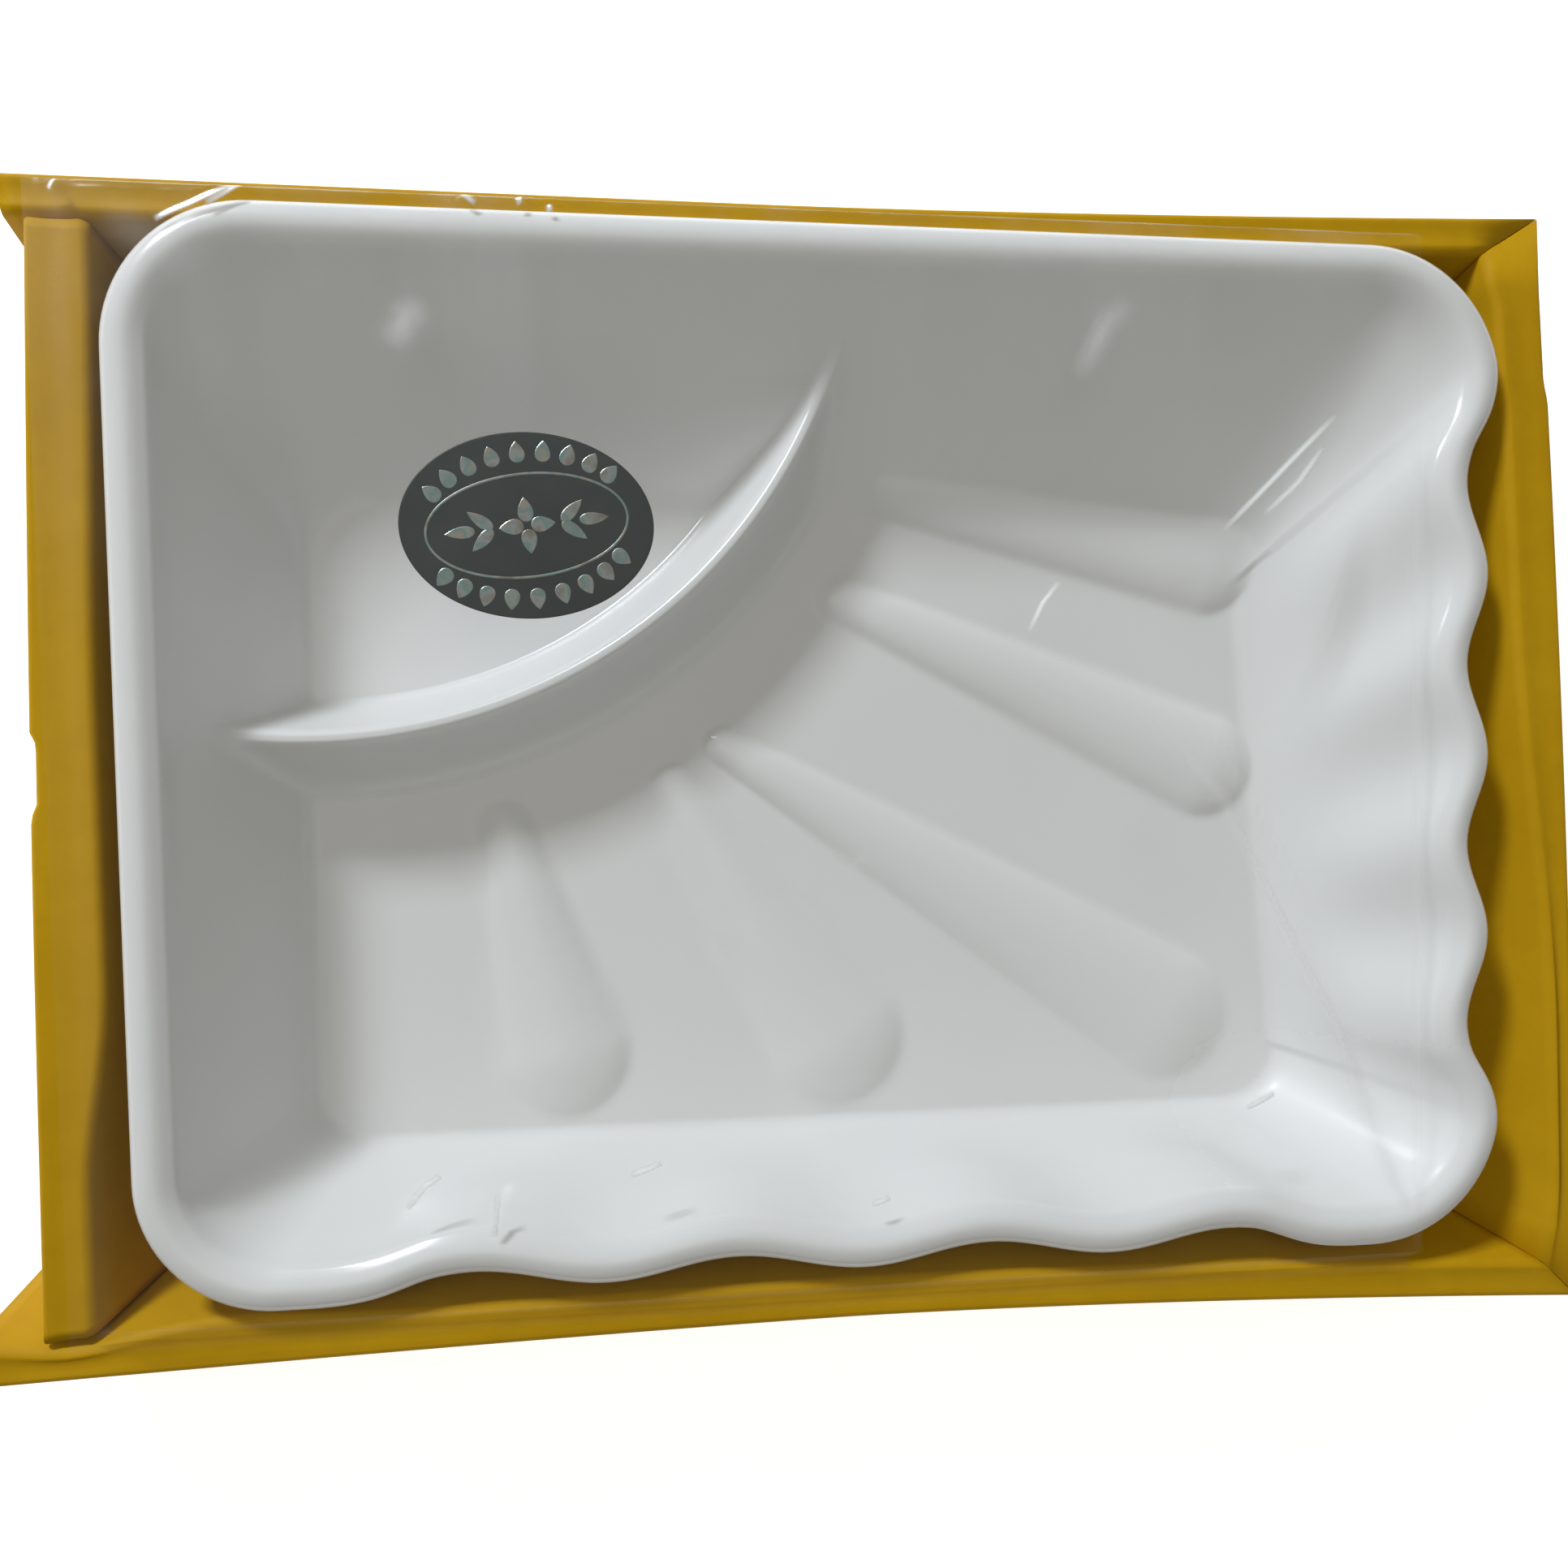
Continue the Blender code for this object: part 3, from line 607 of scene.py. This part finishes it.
# Painted highlights and reflections on the film, drawn as soft milky patches: path, width, strength
FILM_PAINTED_HIGHLIGHTS = (
    (((61.5, 93.0), (70.0, 107.5), (76.0, 112.0)), 2.4, 0.3),
    (((-97.5, 96.0), (-93.5, 103.5), (-88.5, 105.5)), 3.2, 0.3),
    (((-158.0, 124.0), (-146.0, 118.0), (-140.0, 110.0)), 4.0, 0.1),
    (LONG_CREASE_END, 1.6, 0.3),
    (((92.0, 14.0), (104.0, -6.0), (122.0, -40.0)), 1.8, 0.16),
    (((148.9, 90.0), (149.0, -20.0), (149.0, -124.0)), 0.9, 0.3),
)


def near_path(x, y, path):
    """Distance to a path, and how far along it the nearest point is, from 0 to 1."""
    best, along = np.full(x.shape, 1e9), np.zeros(x.shape)
    lengths = [math.dist(a, b) for a, b in zip(path, path[1:])]
    gone = 0.0
    for (x0, y0), (x1, y1), length in zip(path, path[1:], lengths):
        dx, dy = x1 - x0, y1 - y0
        t = np.clip(((x - x0) * dx + (y - y0) * dy) / length**2, 0.0, 1.0)
        away = np.hypot(x - x0 - dx * t, y - y0 - dy * t)
        along = np.where(away < best, (gone + t * length) / sum(lengths), along)
        best = np.minimum(best, away)
        gone += length
    return best, along


def fold_height_whitening_and_painted_glint(x, y):
    """How much each point belongs to a sharp fold: its height in millimetres, and 0 to 1 for its whitened
    core, partly real whitening of the creased film and partly a painted glint.
    """
    height, share = np.zeros_like(x), np.zeros_like(x)
    for path, rise in FILM_FOLDS:
        away, along = near_path(x, y, path)
        lit = near_path(x + FOLD_FACING[0], y + FOLD_FACING[1], path)[0] > away
        taper = 1.0 - np.abs(2.0 * along - 1.0) ** 3
        height = np.maximum(height, rise * taper * np.exp(-((away / np.where(lit, *FOLD_WIDTHS)) ** 2)))
        share = np.maximum(share, taper**0.5 * np.exp(-((away / np.where(lit, *FOLD_WHITENING_AND_GLINT_CORES)) ** 4)))
    return height, share


def painted_highlight_share(x, y):
    """How much painted highlight, a milky veil standing in for reflections, each point gets, from 0 to 1.
    """
    share = np.zeros_like(x)
    for path, width, strength in FILM_PAINTED_HIGHLIGHTS:
        away, along = near_path(x, y, path)
        taper = 1.0 - np.abs(2.0 * along - 1.0) ** 2
        share = np.maximum(share, strength * taper * np.exp(-((away / width) ** 2)))
    return share


def film_height(x, y):
    """Taut over the rim and tacked down to the wall tops at three sides, with creases and fine pulls."""
    left = (FILM_FLAT_X[0] - x) / FILM_DROPS["left"]
    front = (FILM_FLAT_Y[0] - y) / FILM_DROPS["front"]
    back = (y - FILM_FLAT_Y[1]) / FILM_DROPS["back"]
    drop = smooth(np.maximum(np.maximum(left, front), back))
    taut = 1.0 - drop
    waves = np.zeros_like(x)
    for height, across, wander, along, start, over in FILM_PULLS:
        waves += height * np.sin(x * across + wander * np.sin(y * along)) * smooth((y - start) / over)
    for height, of_x, of_y, pitch, phase in FILM_SWELLS:
        waves += height * np.sin((x * of_x + y * of_y) * pitch + phase)
    creases = np.zeros_like(x)
    for path, height, width in FILM_CREASES:
        creases = np.maximum(creases, height * np.exp(-((near_path(x, y, path)[0] / width) ** 2)))
    curl = FILM_CURL * smooth((x - FILM_X[1] + FILM_CURL_WIDTH) / FILM_CURL_WIDTH)
    relief = (FILM_CLEARANCE + waves + creases + curl) * taut + fold_height_whitening_and_painted_glint(x, y)[0]
    return FILM_HIGH - drop * (FILM_HIGH - FILM_LOW) + relief


def near_folds(x, y):
    """How many times a face here is halved, because a crease or a fold is near."""
    level = np.zeros(x.shape, int)
    for path, _ in FILM_FOLDS:
        level = np.maximum(level, 2 * (near_path(x, y, path)[0] < FOLD_NEAR))
    for path, _, _ in FILM_CREASES:
        level = np.maximum(level, (near_path(x, y, path)[0] < CREASE_NEAR).astype(int))
    return level


def flat_grid(x_range, y_range, step):
    columns = int((x_range[1] - x_range[0]) / step) + 1
    rows = int((y_range[1] - y_range[0]) / step) + 1
    x, y = np.meshgrid(np.linspace(*x_range, columns), np.linspace(*y_range, rows))
    bm = bmesh.new()
    points = np.column_stack([x.ravel(), y.ravel(), np.zeros(x.size)])
    verts = [bm.verts.new(point) for point in points * MM]
    for row in range(rows - 1):
        for column in range(columns - 1):
            a = row * columns + column
            bm.faces.new((verts[a], verts[a + 1], verts[a + columns + 1], verts[a + columns]))
    return bm


def make_film(material):
    bm = flat_grid(FILM_X, FILM_Y, FILM_STEP)
    for level in (1, 2):
        split_faces(bm, near_folds, level)
    x, y = (np.array([vert.co[:2] for vert in bm.verts]) / MM).T
    heights, fold_whitening_and_painted_glint, painted_highlights = film_height(x, y), fold_height_whitening_and_painted_glint(x, y)[1], painted_highlight_share(x, y)
    # Each fold's whitened core: partly real whitening of the creased film, partly a painted glint.
    fold_whitening_and_painted_glint_layer = bm.verts.layers.float.new("fold")
    # The patch attribute holds the painted highlights.
    painted_highlight_layer = bm.verts.layers.float.new("patch")
    for vert, z, fold, patch in zip(bm.verts, heights, fold_whitening_and_painted_glint, painted_highlights):
        vert.co.z = z * MM
        vert[fold_whitening_and_painted_glint_layer] = fold
        vert[painted_highlight_layer] = patch
    film = new_piece("film_sheet", bm, material, "film", ["clear_film"])


# ---- sticker ----
STICKER_HALF = (28.6, 21.0)
STICKER_TOP = 51.12
STICKER_EDGE = ((0.15, -0.2), (0.0, -0.14), (0.0, -0.07), (0.12, -0.02), (0.4, 0.0))  # inset and height
OVAL_STEPS = 128
RING_HALF, RING_TUBE, RING_PROUD, RING_SIDES = (22.8, 11.6), 0.32, 0.06, 8
DROP_STEPS, DROP_PINCH = 20, 0.8
DROP_LEVELS = ((1.0, -0.03), (0.9, 0.05))  # size and height of a drop's lower and upper outlines
DROPS_HALF, DROPS_SPLAY = (24.6, 16.6), 0.55  # the oval that the drops stand on, and how far they fan out
DROP_LENGTH, DROP_WIDTH = 5.0, 4.6
DROP_ANGLES = (35.0, 145.0)
DROPS_PER_SIDE = 9
PETAL_REACH, PETAL_LENGTH, PETAL_WIDTH = 3.6, 5.8, 4.6
LEAVES = ((10.4, 40.0), (10.4, -40.0), (15.2, 0.0))  # reach and tilt
LEAF_LENGTH, LEAF_WIDTH, LEAF_SPREAD = 7.0, 3.6, 0.34
ORNAMENT_TURN = 7.0


def ellipse(half, count, z):
    turns = np.linspace(0.0, 2.0 * np.pi, count, endpoint=False)
    return np.column_stack([half[0] * np.cos(turns), half[1] * np.sin(turns), np.full(count, z)])


def sticker_frame():
    low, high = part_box("oval_sticker")
    return Vector(((low[0] + high[0]) / 2, (low[1] + high[1]) / 2, 0.0))


def make_sticker(dark, foil):
    at = sticker_frame()
    rings = []
    for inset, height in STICKER_EDGE:
        half = (STICKER_HALF[0] - inset, STICKER_HALF[1] - inset)
        rings.append(ellipse(half, OVAL_STEPS, STICKER_TOP + height))
    bm = loft(rings)
    bmesh.ops.translate(bm, verts=bm.verts, vec=at)
    new_piece("label_oval", bm, dark, "film", ["oval_sticker"], shades=False)
    make_ring(at, foil)
    make_drops(at, foil)
    make_rosette(at, foil)


def foil_piece(name, bm, at, foil, smooth_shaded):
    """Turns an ornament a little, as the label lies, and makes it a piece."""
    bmesh.ops.recalc_face_normals(bm, faces=bm.faces)
    turn = Matrix.Rotation(math.radians(ORNAMENT_TURN), 3, "Z")
    bmesh.ops.rotate(bm, verts=bm.verts, cent=at, matrix=turn)
    new_piece(name, bm, foil, "film", smooth_shaded=smooth_shaded, shades=False)


def make_ring(at, foil):
    """The thin foil oval."""
    bm = bmesh.new()
    rows = []
    for turn in np.linspace(0.0, 2.0 * np.pi, OVAL_STEPS, endpoint=False):
        centre = np.array((RING_HALF[0] * math.cos(turn), RING_HALF[1] * math.sin(turn)))
        out = np.array((math.cos(turn) / RING_HALF[0], math.sin(turn) / RING_HALF[1]))
        out /= np.linalg.norm(out)
        row = []
        for side in range(RING_SIDES):
            a = 2.0 * math.pi * side / RING_SIDES
            plan = centre + out * RING_TUBE * math.cos(a)
            z = STICKER_TOP + RING_PROUD * math.sin(a)
            row.append(bm.verts.new(Vector((plan[0] * MM, plan[1] * MM, z * MM)) + at))
        rows.append(row)
    for row, after in zip(rows, rows[1:] + rows[:1]):
        for side in range(RING_SIDES):
            beside = (side + 1) % RING_SIDES
            bm.faces.new((row[side], row[beside], after[beside], after[side]))
    foil_piece("label_ring", bm, at, foil, smooth_shaded=True)


def flat_drop(bm, at, centre, direction, length, width):
    """One foil drop, round at its foot and pointed at its tip, a twentieth of a millimetre proud."""
    across = np.array((-direction[1], direction[0]))
    lower, upper = [], []
    for turn in np.linspace(0.0, 2.0 * np.pi, DROP_STEPS, endpoint=False):
        pinch = math.sin(turn / 2.0) ** DROP_PINCH
        along = direction * length * 0.5 * math.cos(turn)
        plan = centre + along + across * width * 0.5 * math.sin(turn) * pinch
        for row, (size, height) in zip((lower, upper), DROP_LEVELS):
            p = centre + (plan - centre) * size
            row.append(bm.verts.new(Vector((p[0] * MM, p[1] * MM, (STICKER_TOP + height) * MM)) + at))
    for i in range(len(lower)):
        j = (i + 1) % len(lower)
        bm.faces.new((lower[i], lower[j], upper[j], upper[i]))
    bm.faces.new(lower)
    bm.faces.new(upper)


def make_drops(at, foil):
    """A row of drops behind the foil oval and one in front of it."""
    bm = bmesh.new()
    for side in (1.0, -1.0):
        for angle in np.linspace(*DROP_ANGLES, DROPS_PER_SIDE):
            turn = math.radians(angle) * side
            centre = np.array((DROPS_HALF[0] * math.cos(turn), DROPS_HALF[1] * math.sin(turn)))
            direction = np.array((centre[0] * DROPS_SPLAY, centre[1]))
            direction /= np.linalg.norm(direction)
            flat_drop(bm, at, centre, direction, DROP_LENGTH, DROP_WIDTH)
    foil_piece("label_drops", bm, at, foil, smooth_shaded=False)


def make_rosette(at, foil):
    """A plain ornament in the label's middle: four petals and three leaves on either side."""
    bm = bmesh.new()
    for angle in (0.0, 90.0, 180.0, 270.0):
        direction = np.array((math.cos(math.radians(angle)), math.sin(math.radians(angle))))
        flat_drop(bm, at, direction * PETAL_REACH, direction, PETAL_LENGTH, PETAL_WIDTH)
    for side in (1.0, -1.0):
        for reach, tilt in LEAVES:
            turn = math.radians(tilt)
            direction = np.array((side * math.cos(turn), math.sin(turn)))
            centre = np.array((side * reach, reach * LEAF_SPREAD * math.sin(turn)))
            flat_drop(bm, at, centre, direction, LEAF_LENGTH, LEAF_WIDTH)
    foil_piece("label_rosette", bm, at, foil, smooth_shaded=False)


# ---- materials ----
class Nodes:
    """A short way to build a node material."""

    def __init__(self, name):
        self.material = bpy.data.materials.new(name)
        self.material.use_nodes = True
        self.tree = self.material.node_tree
        self.shader = self.tree.nodes["Principled BSDF"]
        self.output = self.tree.nodes["Material Output"]
        self.place = self.tree.nodes.new("ShaderNodeTexCoord").outputs["Object"]

    def fill(self, socket, value):
        if isinstance(value, bpy.types.NodeSocket):
            self.tree.links.new(value, socket)
        else:
            socket.default_value = value

    def add(self, kind, **inputs):
        node = self.tree.nodes.new(kind)
        for key, value in inputs.items():
            self.fill(node.inputs[key.replace("_", " ")], value)
        return node

    def noise(self, scale, detail=3.0, roughness=0.5, place=None):
        place = place or self.place
        node = self.add("ShaderNodeTexNoise", Vector=place, Scale=scale, Detail=detail, Roughness=roughness)
        return node.outputs["Fac"]

    def stretched(self, scale):
        mapping = self.add("ShaderNodeMapping", Vector=self.place)
        mapping.inputs["Scale"].default_value = scale
        return mapping.outputs["Vector"]

    def attribute(self, name):
        node = self.add("ShaderNodeAttribute")
        node.attribute_name = name
        return node.outputs["Fac"]

    def ramp(self, value, stops):
        node = self.add("ShaderNodeValToRGB", Fac=value)
        while len(node.color_ramp.elements) < len(stops):
            node.color_ramp.elements.new(0.5)
        for element, (place, colour) in zip(node.color_ramp.elements, stops):
            element.position = place
            element.color = (*colour, 1.0)
        return node.outputs["Color"]

    def span(self, value, low, high, from_low=0.0, from_high=1.0):
        """Maps from_low and from_high to low and high, and holds the value between them."""
        node = self.tree.nodes.new("ShaderNodeMapRange")
        node.inputs["From Min"].default_value = from_low
        node.inputs["From Max"].default_value = from_high
        node.inputs["To Min"].default_value = low
        node.inputs["To Max"].default_value = high
        self.tree.links.new(value, node.inputs["Value"])
        return node.outputs["Result"]

    def math(self, operation, *values):
        node = self.tree.nodes.new("ShaderNodeMath")
        node.operation = operation
        for socket, value in zip(node.inputs, values):
            self.fill(socket, value)
        return node.outputs["Value"]

    def bumped(self, heights):
        """Chains bumps of (height, strength, distance in metres) and returns the normal."""
        normal = None
        for height, strength, distance in heights:
            node = self.add("ShaderNodeBump", Height=height, Strength=strength, Distance=distance)
            if normal:
                self.tree.links.new(normal, node.inputs["Normal"])
            normal = node.outputs["Normal"]
        return normal

    def set(self, **inputs):
        for key, value in inputs.items():
            self.fill(self.shader.inputs[key.replace("_", " ")], value)


def white_plastic():
    m = Nodes("white_gloss_plastic")
    cloud = m.noise(9.0, 2.0)
    fine = m.noise(420.0, 3.0)
    colour = m.ramp(cloud, ((0.3, (0.765, 0.765, 0.755)), (0.7, (0.79, 0.79, 0.785))))
    swell = m.noise(16.0, 1.0)
    place = m.add("ShaderNodeSeparateXYZ", Vector=m.place)
    right = m.span(place.outputs["X"], 0.0, 1.0, 0.095, 0.12)
    front = m.span(place.outputs["Y"], 1.0, 0.0, -0.09, -0.065)
    dulled = m.math("MULTIPLY", right, front)
    roughness = m.math("MULTIPLY_ADD", dulled, 0.3, m.span(fine, 0.17, 0.24))
    m.set(Base_Color=colour, Roughness=roughness, Coat_Weight=0.06, Coat_Roughness=0.16)
    m.set(Normal=m.bumped(((swell, 0.12, 0.002), (fine, 0.03, 0.0002))))
    return m.material


def yellow_card():
    m = Nodes("yellow_card")
    broad = m.noise(14.0, 4.0, 0.6)
    fibre = m.noise(900.0, 4.0, 0.7, m.stretched((1.0, 1.0, 0.35)))
    mottle = m.noise(120.0, 5.0, 0.65)
    stops = ((0.25, (0.50, 0.275, 0.003)), (0.55, (0.56, 0.315, 0.004)), (0.8, (0.60, 0.345, 0.007)))
    colour = m.ramp(broad, stops)
    blend = m.tree.nodes.new("ShaderNodeMix")
    blend.data_type = "RGBA"
    blend.blend_type = "MULTIPLY"
    share, under, over = (blend.inputs[number] for number in (0, 6, 7))  # the colour sockets share names
    m.fill(share, m.span(mottle, 0.0, 0.35, 0.35, 0.75))
    m.fill(under, colour)
    m.fill(over, (0.80, 0.74, 0.6, 1.0))
    m.set(Base_Color=blend.outputs[2], Roughness=m.span(mottle, 0.5, 0.68), Specular_IOR_Level=0.12)
    m.set(Normal=m.bumped(((broad, 0.25, 0.0015), (fibre, 0.12, 0.0001))))
    return m.material


def film_material():
    """Clear, but milky in folds (partly real whitening, partly painted glints), with painted highlights and
    reflections drawn as milky patches, as streaks towards the back and as a veil over the left card, and
    milkier where it is seen edge-on.
    """
    m = Nodes("clear_film")
    swell = m.noise(28.0, 2.0, 0.5, m.stretched((1.0, 0.35, 1.0)))
    place = m.add("ShaderNodeSeparateXYZ", Vector=m.place)
    back = m.span(place.outputs["Y"], 0.0, 1.0, 0.045, 0.115)
    # Painted reflections: faint milky streaks towards the back, and a veil over the left card, stand in for
    # reflections in the wrinkled film.
    streak_noise = m.noise(52.0, 2.0, 0.5, m.stretched((1.0, 0.1, 1.0)))
    painted_reflection_streaks = m.math("MULTIPLY", m.span(streak_noise, 0.0, 0.07, 0.46, 0.75), back)
    left = m.span(place.outputs["X"], 1.0, 0.0, -0.166, -0.125)
    far = m.span(place.outputs["Y"], 0.0, 1.0, 0.03, 0.125)
    painted_reflection_over_card = m.math("MULTIPLY", m.math("MULTIPLY", left, far), 0.05)
    painted_reflection = m.math("MAXIMUM", painted_reflection_over_card, painted_reflection_streaks)
    cloud = m.noise(60.0, 3.0, 0.6)
    painted_reflection = m.math("MULTIPLY", painted_reflection, m.span(cloud, 0.7, 1.2, 0.3, 0.7))
    # Adds the painted highlights, kept in the patch attribute.
    painted_reflection = m.math("ADD", painted_reflection, m.attribute("patch"))
    # Folds whiten the film, partly as real whitening of the creased film and partly as a painted glint.
    fold = m.attribute("fold")
    edge_on = m.add("ShaderNodeLayerWeight", Blend=0.5).outputs["Facing"]
    share = m.math("MULTIPLY_ADD", m.math("POWER", edge_on, 4.0), 0.3, 0.01)
    share = m.math("ADD", m.math("ADD", share, painted_reflection), m.math("MULTIPLY", fold, 0.85))
    m.set(Base_Color=(0.98, 0.985, 0.99, 1.0), Metallic=0.15, Specular_IOR_Level=1.0)
    m.set(Roughness=m.math("MAXIMUM", m.span(painted_reflection, 0.06, 0.62, 0.0, 0.1), m.math("MULTIPLY", fold, 0.3)))
    m.set(Normal=m.bumped(((swell, 0.3, 0.0012),)))
    clear = m.add("ShaderNodeBsdfTransparent", Color=(1.0, 1.0, 1.0, 1.0))
    mixed = m.tree.nodes.new("ShaderNodeMixShader")
    shown = (m.math("MINIMUM", share, 0.92), clear.outputs[0], m.shader.outputs[0])
    for socket, value in zip(mixed.inputs, shown):
        m.fill(socket, value)
    m.fill(m.output.inputs["Surface"], mixed.outputs[0])
    return m.material


def dark_label():
    m = Nodes("dark_label")
    speck = m.noise(300.0, 3.0)
    broad = m.noise(40.0, 3.0)
    colour = m.ramp(broad, ((0.3, (0.05, 0.056, 0.053)), (0.7, (0.065, 0.071, 0.067))))
    m.set(Base_Color=colour, Roughness=m.span(speck, 0.3, 0.42), Metallic=0.15)
    m.set(Normal=m.bumped(((speck, 0.06, 0.0001),)))
    return m.material


def foil():
    m = Nodes("silver_foil")
    patch = m.noise(190.0, 2.0)
    stops = (
        (0.3, (0.36, 0.34, 0.27)),
        (0.46, (0.50, 0.52, 0.50)),
        (0.56, (0.30, 0.44, 0.42)),
        (0.66, (0.50, 0.46, 0.38)),
    )
    m.set(Base_Color=m.ramp(patch, stops), Metallic=0.75, Roughness=m.span(patch, 0.25, 0.4))
    return m.material


def pale_floor():
    m = Nodes("pale_floor")
    grain = m.noise(30.0, 3.0)
    m.set(Base_Color=m.ramp(grain, ((0.3, (0.90, 0.90, 0.90)), (0.7, (0.93, 0.93, 0.93)))), Roughness=0.8)
    m.set(Emission_Color=(1.0, 1.0, 1.0, 1.0), Emission_Strength=0.72)
    return m.material


# ---- stage ----
CAMERA_AT = (-53.3, -16.6, 372.3)
CAMERA_RIGHT = (0.99117, -0.01960, 0.13117)
CAMERA_UP = (0.02464, 0.99901, -0.03691)
CAMERA_LENS, CAMERA_SHIFT_UP = 31.68, 0.0745
# Lights: direction, distance and size in metres, power and colour
KEY = ((-0.478, 0.730, 0.488), 2.2, 0.36, 34.0, (0.88, 0.94, 1.0))
OVERHEAD = ((-0.2, 0.12, 1.0), 2.4, 1.3, 10.0, (1.0, 0.985, 0.93))
SURROUND_COLOUR, SURROUND_STRENGTH = (1.0, 0.985, 0.92, 1.0), 0.2
STUDIO_HALF, STUDIO_BELOW = 3.0, 0.0004  # metres


def make_camera():
    right = Vector(CAMERA_RIGHT).normalized()
    up = Vector(CAMERA_UP)
    up = (up - right * up.dot(right)).normalized()
    back = right.cross(up)
    data = bpy.data.cameras.new("camera")
    data.lens = CAMERA_LENS
    data.sensor_width = 36.0
    data.shift_y = CAMERA_SHIFT_UP
    data.clip_start = 0.01
    camera = bpy.data.objects.new("camera", data)
    camera.matrix_world = Matrix((right, up, back)).transposed().to_4x4()
    camera.location = Vector(CAMERA_AT) * MM
    bpy.context.scene.collection.objects.link(camera)
    bpy.context.scene.camera = camera


def area_light(name, direction, distance, size, power, colour, mirrored=True):
    data = bpy.data.lights.new(name, "AREA")
    data.shape = "SQUARE"
    data.size = size
    data.energy = power
    data.color = colour
    light = bpy.data.objects.new(name, data)
    towards = Vector(direction).normalized()
    light.location = towards * distance
    light.visible_glossy = mirrored
    light.rotation_euler = towards.to_track_quat("Z", "Y").to_euler()
    bpy.context.scene.collection.objects.link(light)


def make_stage():
    mesh = bpy.data.meshes.new("studio_floor")
    signs = ((-1, -1), (1, -1), (1, 1), (-1, 1))
    corners = [(x * STUDIO_HALF, y * STUDIO_HALF, -STUDIO_BELOW) for x, y in signs]
    mesh.from_pydata(corners, [], [(0, 1, 2, 3)])
    mesh.materials.append(pale_floor())
    floor = bpy.data.objects.new("studio_floor", mesh)
    bpy.context.scene.collection.objects.link(floor)
    area_light("key", *KEY)
    area_light("overhead", *OVERHEAD, mirrored=False)
    world = bpy.data.worlds.new("studio")
    world.use_nodes = True
    background = world.node_tree.nodes["Background"]
    background.inputs["Color"].default_value = SURROUND_COLOUR
    background.inputs["Strength"].default_value = SURROUND_STRENGTH
    bpy.context.scene.world = world
    bpy.context.scene.view_settings.view_transform = "Standard"


def main():
    card = yellow_card()
    make_palette(white_plastic())
    make_carton(card)
    make_film(film_material())
    make_sticker(dark_label(), foil())
    make_stage()
    make_camera()


main()
